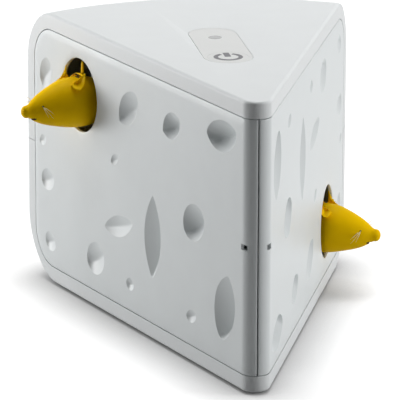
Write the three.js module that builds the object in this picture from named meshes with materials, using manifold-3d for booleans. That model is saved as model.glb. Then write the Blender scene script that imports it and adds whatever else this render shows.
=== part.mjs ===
// Wedge-shaped toy housing with a round hole in each side, and a toy mouse that swings in and out of each.
// Millimetres, +Z up, +Y from the tip towards the curved rind, the wedge symmetric about X = 0.
import * as THREE from 'three';
import { mergeVertices } from 'three/addons/utils/BufferGeometryUtils.js';
import Module from 'manifold-3d';

const wasm = await Module();
wasm.setup();

// Shared clearances and overruns
const seatGap = 0.3;          // between a piece and what carries it
const seamGap = 0.5;          // visible seam between housing pieces
const runningGap = 0.15;      // radial, moving bores
const cutOverrun = 5;         // how far a cutting tool runs past a face
const cutDepth = 10;          // reach of the tools that cut through a side face
const joinOverlap = 0.4;      // how far joined forms of one piece run into each other
const screwGap = 0.3;         // radial, around every screw shank and head

// Housing
const faceLength = 256;       // side face, from the sharp tip of the outline to the rind corner
const halfAngle = THREE.MathUtils.degToRad(20.1);
const rindRadius = 170;
const bodyHeight = 148.9;
const tipRadius = 7.75;
const rindTopRadius = 30;
const rindBottomRadius = 35;
const wall = 2.5;

// Side panels, the same moulding on both sides, turned upside down on the right
const rimHeight = 8.5;        // housing above and below a panel
const rimWidth = 9.5;         // housing beside a panel at the rind
const panelCornerRadius = 20;
const flangeWidth = 3;
const flangeWall = 1.2;
const bulgeWall = 1.5;
const holeRadius = 20;
const holeFromRind = 62;      // hole's centre from the rind corner, along the face
const holeFromTop = 36.9;
const slotWidth = 4.5;
const slotHeight = 2.8;
const slotAlong = 19.5;
const dimpleDepthShare = 0.2;
// Each dimple: place along the face, height, its mouth's width and height as shares, its tilt in degrees
const dimpleShares = [
  [0.164, 0.853, 0.119, 0.060, -12],
  [0.366, 0.799, 0.078, 0.056, -25],
  [0.543, 0.786, 0.100, 0.070, -40],
  [0.274, 0.497, 0.086, 0.076, -25],
  [0.441, 0.369, 0.068, 0.176, 3],
  [0.586, 0.349, 0.125, 0.048, -16],
  [0.148, 0.258, 0.080, 0.136, 6],
  [0.283, 0.164, 0.039, 0.027, -15],
  [0.539, 0.155, 0.032, 0.027, 0],
  [0.691, 0.181, 0.080, 0.070, -20],
  [0.604, 0.581, 0.036, 0.024, -30],
  [0.908, 0.779, 0.052, 0.066, 20],
  [0.926, 0.520, 0.030, 0.025, -25],
  [0.904, 0.379, 0.058, 0.048, -10],
  [0.893, 0.151, 0.050, 0.040, 15],
];

// Screws and their bosses
const bossRadius = 5;
const shellScrewRadius = 1.4;
const shellScrewHeadRadius = 2.9;
const shellScrewHeadHeight = 2;
const shellScrewSeat = 56;    // height of the screw head's seat above the housing's bottom
const shellScrewLength = 32;
const rindBossReach = 11.592;  // past the rind corners
const middleBossX = 30;
const middleBossSetback = 71.408;   // before the rind corners
const tipBossY = 40;

// Drive chassis, a plate at mid-height
const chassisWall = 3;
const chassisSideInset = 4.7;
const chassisReach = 83.408;  // from the rind corners to the chassis's front edge

// Control label, button, indicator and board
const labelHalfWidth = 12.5;
const labelLength = 75;
const labelCentreY = 131.5;
const labelWall = 0.8;
const labelSeatGap = 0.2;
const buttonRimWidth = 2;     // label left around the button
const buttonWall = 1.5;
const buttonTravel = 1;
const buttonPocketFloor = 1.7;
const buttonStemRadius = 2.5;
const buttonStemLength = 6;
const plungerRadius = 1.7;
const plungerLength = 3;
const switchWidth = 6.2;
const switchHeight = 3.5;
const switchRise = 1.5;       // how far the plunger stands out of the switch
const lensRadius = 3.5;
const lensStemRadius = 2.4;
const indicatorReach = 42;    // from the button's centre
const indicatorRadius = 2.5;
const indicatorHeight = 5.6;
const boardHalfWidth = 10.5;
const boardLead = 10.5;       // board before the button's centre
const boardMargin = 4.5;      // board past the rear post
const boardWall = 1.6;
const boardPostRadius = 2.8;
const frontPostReach = 19.5;  // from the button's centre
const rearPostReach = 11;     // from the indicator's centre
const boardScrewRadius = 1;
const boardScrewHeadRadius = 2.2;
const boardScrewHeadHeight = 1.4;
const boardScrewLength = 8;

// Battery bay, its cells, contacts and door
const cellRadius = 7.2;
const cellLength = 49.5;
const cellNubRadius = 2.7;
const cellNubLength = 1;
const cellPitch = 15.4;
const cellRise = 0.5;         // cell above the door
const bayHalfWidth = 24;
const bayLength = 57;
const bayCentreY = 133;
const bayRoof = 20;
const bayWall = 2;
const doorWall = 2;
const doorLedge = 1.5;
const doorEarRadius = 5;
const doorEarReach = 33;      // from the bay's centre to the ear's screw
const tongueHalfWidth = 7.5;
const tongueReach = 3;        // past the bay's end wall
const tongueWall = 1.3;
const doorBossRadius = 6.5;
const doorBossHeight = 13;
const doorScrewRadius = 1.2;
const doorScrewLength = 9;
const doorScrewHeadRadius = 2.6;
const doorScrewHeadHeight = 1.2;
const contactWall = 0.4;
const contactLow = 4.9;
const contactHigh = 17;
const contactSpringRadius = 5;
const contactSpringTipRadius = 2.4;
const contactBumpRadius = 3;
const contactSideGap = 0.45;  // between a contact plate and the bay's sides
const springLengthShare = 0.7; // of the room left at the cell's flat end

// Feet
const footRadius = 6;
const footProud = 1.3;
const footRecess = 1;
const tipFootY = 62;
const rindFootX = 50;
const rindFootSetback = 35.408;     // before the rind corners

// Swing: a steel shaft just inside the panel carries the sector gear and the arm
const pivotFromRind = 17.5;   // from the rind corner, along the face
const pivotInset = 8;
const shaftRadius = 2;
const shaftBossRadius = 3.6;
const shaftBossEnd = 12;      // boss's inner end, from the housing's outer plane
const shaftEnd = 6.5;         // shaft's end, from the housing's outer plane
const hubRadius = 4.8;
const hubLift = 0.4;          // sector gear above the chassis
const sectorWall = 5;
const sectorHubHeight = 11.6;
const dogHeight = 2.5;
const armWebLow = 16;         // above the chassis
const armWebWall = 4;
const armPlateWall = 2.5;
const armPlateHalfHeight = 13;
const armPlateHalfWidth = 10;
const rightSwingAtRest = THREE.MathUtils.degToRad(5.3);   // the right mouse is photographed further in

// Gear train
const gearModuleLength = 1;   // pitch diameter for each tooth
const sectorTeeth = 40;
const idlerSmallTeeth = 10;
const idlerLargeTeeth = 36;
const pinionTeeth = 10;
const meshGap = 0.3;          // added to each centre distance
const addendumShare = 0.8;
const dedendumShare = 1.1;
const toothRootShare = 0.25;  // half widths of a tooth, as shares of its pitch angle
const toothTipShare = 0.1;
const sectorTeethOutwards = 7; // teeth past the idler at rest, towards the mouse
const sectorTeethInwards = 1;  // teeth past the idler at rest, away from the mouse
const idlerBearing = THREE.MathUtils.degToRad(62);   // from the pivot to the idler, inwards from the face
const motorBearing = THREE.MathUtils.degToRad(14.5); // from the idler to the motor, from straight tipwards
const gearStep = 0.9;         // height between the two gear levels
const upperGearWall = 4;
const axleRadius = 1.5;

// Motors
const motorRadius = 10;
const motorFlat = 7.6;
const motorHeight = 25;
const motorNoseRadius = 3;
const motorNoseHeight = 1.5;
const motorShaftRadius = 1;
const motorShaftDepth = 14;
const motorScrewReach = 6.5;
const motorScrewRadius = 0.9;
const motorScrewHeadRadius = 1.8;
const motorScrewHeadHeight = 1;
const motorScrewDepth = 3;

// Mouse: distances out from the hole's plane and half heights of its body
const mouseBack = -12;
const mouseNoseTip = 34;
const mouseWidthShare = 0.96;
const mouseScrewOffset = 5;
const mouseScrewRadius = 0.9;
const mouseScrewHeadRadius = 1.9;
const mouseScrewHeadHeight = 1.2;
const mouseScrewLength = 8;
const mouseBodyRadius = 13.4;
const mouseProfileShares = [   // along from back to nose tip, half height
  [0, 0], [0, 0.82], [0.04, 0.9], [0.15, 0.97], [0.26, 1], [0.36, 0.96], [0.47, 0.83], [0.58, 0.67],
  [0.7, 0.49], [0.8, 0.34], [0.88, 0.235], [0.915, 0.235], [0.945, 0.24], [0.97, 0.2], [0.99, 0.11], [1, 0],
];
const mouseDrop = 6;          // body's centre line below the hole's centre, at the hole
const mouseDropShares = [[0, 0.5], [0.17, 0.85], [0.26, 1], [1, 0.77]];
const earSpread = 8;
const earHeight = 15;
const earHalfWidth = 4.6;
const earFoot = 1;
const earOut = 3.4;
const earThicknessShare = 0.42;
const earCup = 1.5;
const earHollowShares = [0.8, 0.86, 0.9];   // the ear's hollow, as shares of the ear
const earHollowRiseShare = 0.08;
const earLean = THREE.MathUtils.degToRad(8);
const earProfileShares = [[0, 0], [0.1, 0.6], [0.3, 0.95], [0.5, 1], [0.7, 0.75], [0.87, 0.38], [1, 0]];
const whiskerRadius = 0.3;
const whiskerDropShare = 0.8; // whiskers' height, as a share of the body's drop
const whiskerOut = 22.5;
const whiskerSpan = 11.5;
const whiskerSweep = 5.5;
const whiskerFan = 3.5;

// Leads
const leadRadius = 0.7;
const leadPitch = 1.4;
const leadClearance = 2.8;    // between a motor lead and the chassis, the board and the motor

// Segment counts
const fineSegments = 30;
const roundSegments = 16;
const smallSegments = 8;
const rindSegments = 72;
const filletSegments = 4;
const bowlSegments = 12;
const bulgeSegments = 8;
const leadSegments = 2;       // along each half round of a lead
const leadSteps = 2;          // along a lead, for each point of its route

const colours = {
  shell: [0xe2e6e8, 0.35, 0],
  panel: [0xdde1e3, 0.35, 0],
  label: [0xd3d4d3, 0.45, 0],
  symbolGrey: [0x9aa0a3, 0.4, 0],
  mouse: [0xe5ad06, 0.4, 0],
  bristle: [0xe8e2cc, 0.5, 0],
  rubber: [0x2b2c2e, 0.9, 0],
  steel: [0xb9bcc0, 0.3, 1],
  gear: [0xefeee6, 0.45, 0],
  chassis: [0x4a4d50, 0.6, 0],
  board: [0x1f5a38, 0.5, 0],
  cell: [0x35577a, 0.4, 0.2],
  switchBlack: [0x202124, 0.5, 0],
  led: [0x9fd39a, 0.2, 0],
  leadRed: [0xa52a24, 0.6, 0],
};

// Derived housing geometry
const sinHalf = Math.sin(halfAngle);
const cosHalf = Math.cos(halfAngle);
const cornerX = faceLength * sinHalf;
const cornerY = faceLength * cosHalf;
const rindCentreY = cornerY - Math.sqrt(rindRadius ** 2 - cornerX ** 2);
const midHeight = bodyHeight / 2;
const holeAlong = faceLength - holeFromRind;
const holeHeight = bodyHeight - holeFromTop;
const pivotAlong = faceLength - pivotFromRind;
const rindBossY = cornerY + rindBossReach;
const middleBossY = cornerY - middleBossSetback;
const chassisFront = cornerY - chassisReach;
const rindFootY = cornerY - rindFootSetback;
const chassisTop = midHeight + chassisWall / 2;
const chassisBottom = midHeight - chassisWall / 2;
const leftFrame = new THREE.Matrix4().makeBasis(
  new THREE.Vector3(sinHalf, -cosHalf, 0),
  new THREE.Vector3(0, 0, 1),
  new THREE.Vector3(-cosHalf, -sinHalf, 0),
);
const rightFrame = new THREE.Matrix4().makeBasis(
  new THREE.Vector3(sinHalf, cosHalf, 0),
  new THREE.Vector3(0, 0, 1),
  new THREE.Vector3(cosHalf, -sinHalf, 0),
);

// A closed geometry as a solid for cutting and joining
function solid(geometry) {
  const bare = geometry.index ? geometry.toNonIndexed() : geometry.clone();
  bare.deleteAttribute('normal');
  bare.deleteAttribute('uv');
  const merged = mergeVertices(bare);
  const index = merged.index.array;
  const triangles = [];
  for (let i = 0; i < index.length; i += 3) {
    const [a, b, c] = [index[i], index[i + 1], index[i + 2]];
    if (a !== b && b !== c && c !== a) triangles.push(a, b, c);
  }
  return new wasm.Manifold(new wasm.Mesh({
    numProp: 3,
    vertProperties: new Float32Array(merged.attributes.position.array),
    triVerts: new Uint32Array(triangles),
  }));
}

function geometryOf(body) {
  const mesh = body.getMesh();
  const geometry = new THREE.BufferGeometry();
  geometry.setAttribute('position', new THREE.BufferAttribute(new Float32Array(mesh.vertProperties), 3));
  geometry.setIndex(new THREE.BufferAttribute(new Uint32Array(mesh.triVerts), 1));
  geometry.computeVertexNormals();
  return geometry;
}

function joined(bodies) {
  return bodies.reduce((sum, body) => sum.add(body));
}

function cut(body, tools) {
  return tools.reduce((rest, tool) => rest.subtract(tool), body);
}

function named(name, body, [color, roughness, metalness]) {
  const material = new THREE.MeshStandardMaterial({ color, roughness, metalness });
  const mesh = new THREE.Mesh(geometryOf(body), material);
  mesh.name = name;
  return mesh;
}

// Basic solids
function rod(x, y, radius, low, high, segments = roundSegments, topRadius = radius) {
  const geometry = new THREE.CylinderGeometry(topRadius, radius, high - low, segments);
  geometry.rotateX(Math.PI / 2);
  geometry.translate(x, y, (low + high) / 2);
  return solid(geometry);
}

function block(lowX, highX, lowY, highY, lowZ, highZ) {
  const geometry = new THREE.BoxGeometry(highX - lowX, highY - lowY, highZ - lowZ);
  geometry.translate((lowX + highX) / 2, (lowY + highY) / 2, (lowZ + highZ) / 2);
  return solid(geometry);
}

function slab(shape, low, high, curveSegments = roundSegments) {
  const depth = high - low;
  const geometry = new THREE.ExtrudeGeometry(shape, { depth, bevelEnabled: false, curveSegments });
  geometry.translate(0, 0, low);
  return solid(geometry);
}

// The other side's copy: half a turn about the horizontal line through mid-height
function turnedOver(body) {
  return body.rotate([0, 180, 0]).translate([0, 0, bodyHeight]);
}

const sideReach = faceLength + 2 * cutOverrun;   // the sides run past the rind before it trims them

// The housing's outer body, drawn in by an inset all round
function wedge(inset) {
  const radius = Math.max(tipRadius - inset, joinOverlap);
  const tipY = (inset + radius) / sinHalf;
  const shape = new THREE.Shape();
  shape.absarc(0, tipY, radius, Math.PI + halfAngle, 2 * Math.PI - halfAngle, false);
  shape.lineTo(radius * cosHalf + sideReach * sinHalf, tipY - radius * sinHalf + sideReach * cosHalf);
  shape.lineTo(-radius * cosHalf - sideReach * sinHalf, tipY - radius * sinHalf + sideReach * cosHalf);
  const sides = slab(shape, inset, bodyHeight - inset, smallSegments);
  const low = rindBottomRadius - inset;
  const high = rindTopRadius - inset;
  const outer = rindRadius - inset;
  const points = [new THREE.Vector2(0, inset)];
  for (let i = 0; i <= filletSegments; i++) {
    const angle = (i / filletSegments) * Math.PI / 2;
    points.push(new THREE.Vector2(outer - low + low * Math.sin(angle), inset + low - low * Math.cos(angle)));
  }
  for (let i = 0; i <= filletSegments; i++) {
    const angle = (i / filletSegments) * Math.PI / 2;
    const z = bodyHeight - inset - high + high * Math.sin(angle);
    points.push(new THREE.Vector2(outer - high + high * Math.cos(angle), z));
  }
  points.push(new THREE.Vector2(0, bodyHeight - inset));
  const rind = new THREE.LatheGeometry(points, rindSegments);
  rind.rotateX(Math.PI / 2);
  rind.translate(0, rindCentreY, 0);
  return sides.intersect(solid(rind));
}

// A window in the left face, made smaller by an inset; it runs through the wall and past the tip
function leftWindow(inset, past) {
  const radius = panelCornerRadius - inset;
  const rindEnd = -(faceLength - rimWidth - inset);
  const low = rimHeight + inset;
  const high = bodyHeight - rimHeight - inset;
  const shape = new THREE.Shape();
  shape.moveTo(tipRadius, low);
  shape.lineTo(tipRadius, high);
  shape.lineTo(rindEnd + radius, high);
  shape.absarc(rindEnd + radius, high - radius, radius, Math.PI / 2, Math.PI, false);
  shape.absarc(rindEnd + radius, low + radius, radius, Math.PI, 3 * Math.PI / 2, false);
  const geometry = new THREE.ExtrudeGeometry(shape, {
    depth: cutDepth + 2 * cutOverrun, bevelEnabled: false, curveSegments: filletSegments,
  });
  geometry.translate(0, 0, -cutDepth);
  geometry.applyMatrix4(leftFrame);
  const halfSpace = block(-faceLength, past, -faceLength, 2 * faceLength, -bodyHeight, 2 * bodyHeight);
  return solid(geometry).intersect(halfSpace);
}

function bowlDepth(width, tall) {
  return dimpleDepthShare * Math.min(width, tall) * faceLength;
}

// A bowl in the left face: the last quarter of an ellipsoid's height, thickened by a wall to form the back
function bowl([along, height, width, tall, tilt], thickness) {
  const halfWidth = width * faceLength / 2;
  const halfTall = tall * faceLength / 2;
  const depth = bowlDepth(width, tall);
  const spread = 2 / Math.sqrt(3);   // the ellipsoid's radius over the mouth's
  const segments = depth > bulgeWall ? bowlSegments : bulgeSegments;
  const geometry = new THREE.SphereGeometry(1, thickness ? bulgeSegments : segments, bulgeSegments);
  geometry.rotateX(Math.PI / 2);
  geometry.scale(halfWidth * spread + thickness, halfTall * spread + thickness, 2 * depth + thickness);
  geometry.rotateZ(-THREE.MathUtils.degToRad(tilt));
  geometry.translate(-along * faceLength, height * bodyHeight, depth);
  geometry.applyMatrix4(leftFrame);
  return solid(geometry);
}

function inLeftFace(geometry, along, height, out) {
  geometry.translate(-along, height, out);
  geometry.applyMatrix4(leftFrame);
  return solid(geometry);
}

function sidePanel() {
  const half = seamGap / 2;
  const flangeStart = wall + seatGap;
  const flangeEnd = flangeStart + flangeWall;
  const plateOutline = leftWindow(seamGap, -half);
  const inner = leftWindow(seamGap + flangeWidth, -half);
  const skin = wedge(0).subtract(wedge(wall)).intersect(plateOutline);
  const rib = wedge(wall - joinOverlap).subtract(wedge(flangeEnd)).intersect(plateOutline).subtract(inner);
  const flange = wedge(flangeStart).subtract(wedge(flangeEnd)).intersect(leftWindow(-flangeWidth, -half));
  const behind = inLeftFace(
    new THREE.BoxGeometry(2 * faceLength, 2 * bodyHeight, faceLength),
    0, midHeight, -faceLength / 2 - wall / 2,
  );
  const deep = dimpleShares.filter(([, , width, tall]) => bowlDepth(width, tall) > bulgeWall);
  const bulges = deep.map((share) => bowl(share, bulgeWall).intersect(behind));
  const hole = new THREE.CylinderGeometry(holeRadius, holeRadius, cutDepth, fineSegments);
  hole.rotateX(Math.PI / 2);
  const slot = new THREE.BoxGeometry(slotWidth, slotHeight, cutDepth);
  const body = joined([skin, rib, flange.subtract(inner), ...bulges]);
  return cut(body, [
    ...dimpleShares.map((share) => bowl(share, 0)),
    inLeftFace(hole, holeAlong, holeHeight, 0),
    inLeftFace(slot, slotAlong, midHeight, 0),
  ]);
}

// Plan positions
const pivot = new THREE.Vector2(
  pivotInset * cosHalf - pivotAlong * sinHalf, pivotAlong * cosHalf + pivotInset * sinHalf,
);
const bossPlans = [
  [0, rindBossY], [middleBossX, middleBossY], [-middleBossX, middleBossY], [0, tipBossY],
];
const footPlans = {
  foot_tip: [0, tipFootY], foot_left: [-rindFootX, rindFootY], foot_right: [rindFootX, rindFootY],
};
const splitHalf = seatGap / 2;

// Heights of the facing ends of a lower and an upper boss, which hold the chassis where it reaches them
function bossFaces(y) {
  return y > chassisFront
    ? [chassisBottom - seatGap, chassisTop + seatGap]
    : [midHeight - splitHalf, midHeight + splitHalf];
}

function stadium(halfWidth, length, centreY) {
  const straight = length / 2 - halfWidth;
  const shape = new THREE.Shape();
  shape.absarc(0, centreY + straight, halfWidth, 0, Math.PI, false);
  shape.absarc(0, centreY - straight, halfWidth, Math.PI, 2 * Math.PI, false);
  return shape;
}

const buttonY = labelCentreY - labelLength / 2 + labelHalfWidth;
const buttonRadius = labelHalfWidth - buttonRimWidth;
const indicatorY = buttonY + indicatorReach;
const boardPostFrontY = buttonY + frontPostReach;
const boardPostRearY = indicatorY + rearPostReach;
const stemBottom = bodyHeight - buttonWall - buttonStemLength;
const plungerTop = stemBottom - seatGap;
const switchTop = plungerTop - switchRise;
const boardTop = switchTop - switchHeight - seatGap;
const boardBottom = boardTop - boardWall;
const pocketFloor = bodyHeight - buttonWall - buttonTravel - seatGap;

function upperShell() {
  const hollow = wedge(0).subtract(wedge(wall));
  const upperHalf = block(
    -faceLength, faceLength, -faceLength, 2 * faceLength, midHeight + splitHalf, 2 * bodyHeight,
  );
  const window = leftWindow(0, wall);
  const skin = cut(hollow.intersect(upperHalf), [window, turnedOver(window)]);
  const ceiling = bodyHeight - wall;
  const bosses = bossPlans.map(([x, y]) => rod(x, y, bossRadius, bossFaces(y)[1], ceiling + joinOverlap));
  const pilots = bossPlans.map(([x, y]) => rod(
    x, y, shellScrewRadius + screwGap,
    bossFaces(y)[1] - cutOverrun, shellScrewSeat + shellScrewLength + 2 * seatGap, smallSegments,
  ));
  const shaftBoss = rod(pivot.x, pivot.y, shaftBossRadius, bodyHeight - shaftBossEnd, bodyHeight);
  const shaftHole = rod(
    pivot.x, pivot.y, shaftRadius + runningGap,
    bodyHeight - shaftBossEnd - cutOverrun, bodyHeight - shaftEnd + seatGap,
  );
  const pocketBoss = rod(
    0, buttonY, labelHalfWidth, pocketFloor - buttonPocketFloor, ceiling + joinOverlap, fineSegments,
  );
  const posts = [boardPostFrontY, boardPostRearY].map(
    (y) => rod(0, y, boardPostRadius, boardTop + seatGap, ceiling + joinOverlap, smallSegments),
  );
  const postHoles = [boardPostFrontY, boardPostRearY].map((y) => rod(
    0, y, boardScrewRadius + screwGap, boardTop, boardBottom + boardScrewLength + seatGap, smallSegments,
  ));
  const recess = slab(
    stadium(labelHalfWidth + seatGap, labelLength + 2 * seatGap, labelCentreY),
    bodyHeight - labelWall - labelSeatGap, bodyHeight + cutOverrun,
  );
  const inside = joined([...bosses, shaftBoss, pocketBoss, ...posts]).intersect(wedge(wall - joinOverlap));
  return cut(skin.add(inside), [
    ...pilots, shaftHole, ...postHoles, recess,
    rod(0, buttonY, buttonRadius + seatGap, pocketFloor, bodyHeight + cutOverrun, fineSegments),
    rod(0, buttonY, buttonStemRadius + seatGap, pocketFloor - 2 * buttonPocketFloor, bodyHeight),
    rod(0, indicatorY, lensStemRadius + seatGap, ceiling - cutOverrun, bodyHeight),
  ]);
}

const bayFront = bayCentreY - bayLength / 2;
const doorScrewY = bayCentreY + doorEarReach;

function doorOutline(gap) {
  const halfLength = bayLength / 2 + doorLedge;
  const plate = block(
    -bayHalfWidth - doorLedge + gap, bayHalfWidth + doorLedge - gap,
    bayCentreY - halfLength + gap, bayCentreY + halfLength - gap,
    -cutOverrun, doorWall + seatGap - gap,
  );
  return plate.add(rod(0, doorScrewY, doorEarRadius - gap, -cutOverrun, doorWall + seatGap - gap));
}

// The tongue hooks over the housing's floor through a slot in the bay's front wall
function doorTongue(gap) {
  const inside = bayFront + 2 * seatGap + tongueWall;
  return block(
    -tongueHalfWidth - gap, tongueHalfWidth + gap,
    bayFront - bayWall - tongueReach - gap, inside + gap,
    wall + seatGap - gap, wall + seatGap + tongueWall + gap,
  );
}

function lowerShell() {
  const hollow = wedge(0).subtract(wedge(wall));
  const lowerHalf = block(
    -faceLength, faceLength, -faceLength, 2 * faceLength, -bodyHeight, midHeight - splitHalf,
  );
  const window = leftWindow(0, wall);
  const skin = cut(hollow.intersect(lowerHalf), [window, turnedOver(window)]);
  const bosses = bossPlans.map(([x, y]) => rod(x, y, bossRadius, 0, bossFaces(y)[0]));
  const channels = bossPlans.flatMap(([x, y]) => [
    rod(x, y, shellScrewHeadRadius + screwGap, -cutOverrun, shellScrewSeat),
    rod(x, y, shellScrewRadius + screwGap, 0, bodyHeight, smallSegments),
  ]);
  const shaftBoss = rod(-pivot.x, pivot.y, shaftBossRadius, 0, shaftBossEnd);
  const shaftHole = rod(
    -pivot.x, pivot.y, shaftRadius + runningGap, shaftEnd - seatGap, shaftBossEnd + cutOverrun,
  );
  const bayOuter = block(
    -bayHalfWidth - bayWall, bayHalfWidth + bayWall,
    bayCentreY - bayLength / 2 - bayWall, bayCentreY + bayLength / 2 + bayWall, 0, bayRoof + bayWall,
  );
  const bayInner = block(
    -bayHalfWidth, bayHalfWidth, bayCentreY - bayLength / 2, bayCentreY + bayLength / 2, -cutOverrun, bayRoof,
  );
  const doorBoss = rod(0, doorScrewY, doorBossRadius, 0, doorBossHeight);
  const doorPilot = rod(
    0, doorScrewY, doorScrewRadius + screwGap, 0, doorWall + doorScrewLength, smallSegments,
  );
  const footHoles = Object.values(footPlans).map(
    ([x, y]) => rod(x, y, footRadius + seatGap, -cutOverrun, footRecess),
  );
  const inside = joined([...bosses, shaftBoss, doorBoss]).intersect(wedge(wall - joinOverlap));
  return cut(joined([skin, inside, bayOuter]), [
    bayInner, doorOutline(0), doorTongue(seatGap), ...channels, shaftHole, doorPilot, ...footHoles,
  ]);
}

function batteryDoor() {
  const plate = doorOutline(seatGap).intersect(
    block(-faceLength, faceLength, 0, 2 * faceLength, 0, doorWall),
  );
  const root = bayFront + seatGap;
  const riser = block(
    -tongueHalfWidth, tongueHalfWidth, root, root + seatGap + tongueWall,
    doorWall - joinOverlap, wall + seatGap + tongueWall,
  );
  return cut(joined([plate, riser, doorTongue(0)]), [
    rod(0, doorScrewY, doorScrewRadius + screwGap, -cutOverrun, bodyHeight, smallSegments),
    rod(0, doorScrewY, doorScrewHeadRadius + screwGap, -cutOverrun, doorScrewHeadHeight, smallSegments),
  ]);
}

// A screw pointing up, its head's underside at the given seat height
function screwUp(x, y, seat, length, radius, headRadius, headHeight) {
  const shank = rod(x, y, radius, seat - joinOverlap, seat + length, smallSegments);
  const head = rod(x, y, headRadius, seat - headHeight, seat, smallSegments);
  return shank.add(head);
}

function shellScrew([x, y]) {
  return screwUp(
    x, y, shellScrewSeat - seatGap,
    shellScrewLength, shellScrewRadius, shellScrewHeadRadius, shellScrewHeadHeight,
  );
}

function doorScrew() {
  return screwUp(
    0, doorScrewY, doorScrewHeadHeight - seatGap,
    doorScrewLength - seatGap, doorScrewRadius, doorScrewHeadRadius, doorScrewHeadHeight - seatGap,
  );
}

function boardScrew(y) {
  return screwUp(
    0, y, boardBottom - seatGap,
    boardScrewLength, boardScrewRadius, boardScrewHeadRadius, boardScrewHeadHeight,
  );
}

function foot([x, y]) {
  return rod(x, y, footRadius, -footProud, footRecess - seatGap);
}

function controlLabel() {
  const plate = slab(
    stadium(labelHalfWidth, labelLength, labelCentreY), bodyHeight - labelWall, bodyHeight,
  );
  return cut(plate, [
    rod(0, buttonY, buttonRadius + labelSeatGap, 0, 2 * bodyHeight, fineSegments),
    rod(0, indicatorY, lensRadius + labelSeatGap, 0, 2 * bodyHeight),
  ]);
}

function powerButton() {
  const cap = rod(0, buttonY, buttonRadius, bodyHeight - buttonWall, bodyHeight, fineSegments);
  return cap.add(rod(0, buttonY, buttonStemRadius, stemBottom, bodyHeight - buttonWall + joinOverlap));
}

function switchPlunger() {
  return rod(0, buttonY, plungerRadius, plungerTop - plungerLength, plungerTop, smallSegments);
}

function tactSwitch() {
  const half = switchWidth / 2;
  const housing = block(-half, half, buttonY - half, buttonY + half, boardTop + seatGap, switchTop);
  const bore = rod(
    0, buttonY, plungerRadius + seatGap,
    plungerTop - plungerLength - buttonTravel - seatGap, bodyHeight, smallSegments,
  );
  return housing.subtract(bore);
}

function indicatorLens() {
  const cap = rod(0, indicatorY, lensRadius, bodyHeight - labelWall, bodyHeight);
  const low = boardTop + indicatorHeight + 2 * seatGap;
  return cap.add(rod(0, indicatorY, lensStemRadius, low, bodyHeight - labelWall + joinOverlap));
}

function indicatorLed() {
  return rod(0, indicatorY, indicatorRadius, boardTop + seatGap, boardTop + seatGap + indicatorHeight);
}

function mainBoard() {
  const board = block(
    -boardHalfWidth, boardHalfWidth, buttonY - boardLead, boardPostRearY + boardMargin, boardBottom, boardTop,
  );
  return cut(board, [boardPostFrontY, boardPostRearY].map(
    (y) => rod(0, y, boardScrewRadius + screwGap, boardBottom - cutOverrun, bodyHeight, smallSegments),
  ));
}

// Rods along Y, for the cells and contacts
function rodAlongY(x, z, radius, low, high, endRadius = radius) {
  const geometry = new THREE.CylinderGeometry(endRadius, radius, high - low, roundSegments);
  geometry.translate(x, (low + high) / 2, z);
  return solid(geometry);
}

function turnedAround(body) {
  return body.rotate([0, 0, 180]).translate([0, 2 * bayCentreY, 0]);
}

const cellAxisZ = doorWall + seatGap + cellRise + cellRadius;
const contactRoom = bayLength - 2 * (seatGap + contactWall) - cellLength - cellNubLength - 2 * seatGap;
const springEnd = bayFront + seatGap + contactWall + springLengthShare * contactRoom;
const cellStart = springEnd + seatGap;

function cell(x) {
  const body = rodAlongY(x, cellAxisZ, cellRadius, cellStart, cellStart + cellLength);
  const nubStart = cellStart + cellLength - joinOverlap;
  return body.add(rodAlongY(x, cellAxisZ, cellNubRadius, nubStart, cellStart + cellLength + cellNubLength));
}

// A contact plate at the bay's front wall, with its springs and bumps
function contactPlate(springPlaces, bumpPlaces) {
  const plateFront = bayFront + seatGap;
  const plate = block(
    -bayHalfWidth + contactSideGap, bayHalfWidth - contactSideGap,
    plateFront, plateFront + contactWall, contactLow, contactHigh,
  );
  const bumpEnd = 2 * bayCentreY - cellStart - cellLength - cellNubLength - seatGap;
  const springs = springPlaces.map((x) => rodAlongY(
    x, cellAxisZ, contactSpringRadius, plateFront, springEnd, contactSpringTipRadius,
  ));
  const bumps = bumpPlaces.map((x) => rodAlongY(x, cellAxisZ, contactBumpRadius, plateFront, bumpEnd));
  return joined([plate, ...springs, ...bumps]);
}

// Gears
function pitchRadius(teeth) {
  return gearModuleLength * teeth / 2;
}

function toothPoints(teeth, phase, first, last) {
  const pitch = 2 * Math.PI / teeth;
  const root = pitchRadius(teeth) - dedendumShare * gearModuleLength;
  const tip = pitchRadius(teeth) + addendumShare * gearModuleLength;
  const points = [];
  for (let i = first; i <= last; i++) {
    const middle = phase + i * pitch;
    for (const [radius, share] of [
      [root, -toothRootShare], [tip, -toothTipShare], [tip, toothTipShare], [root, toothRootShare],
    ]) {
      const angle = middle + share * pitch;
      points.push(new THREE.Vector2(radius * Math.cos(angle), radius * Math.sin(angle)));
    }
  }
  return points;
}

function gear(centre, teeth, phase, low, high) {
  const disc = slab(new THREE.Shape(toothPoints(teeth, phase, 0, teeth - 1)), low, high);
  return disc.translate([centre.x, centre.y, 0]);
}

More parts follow.
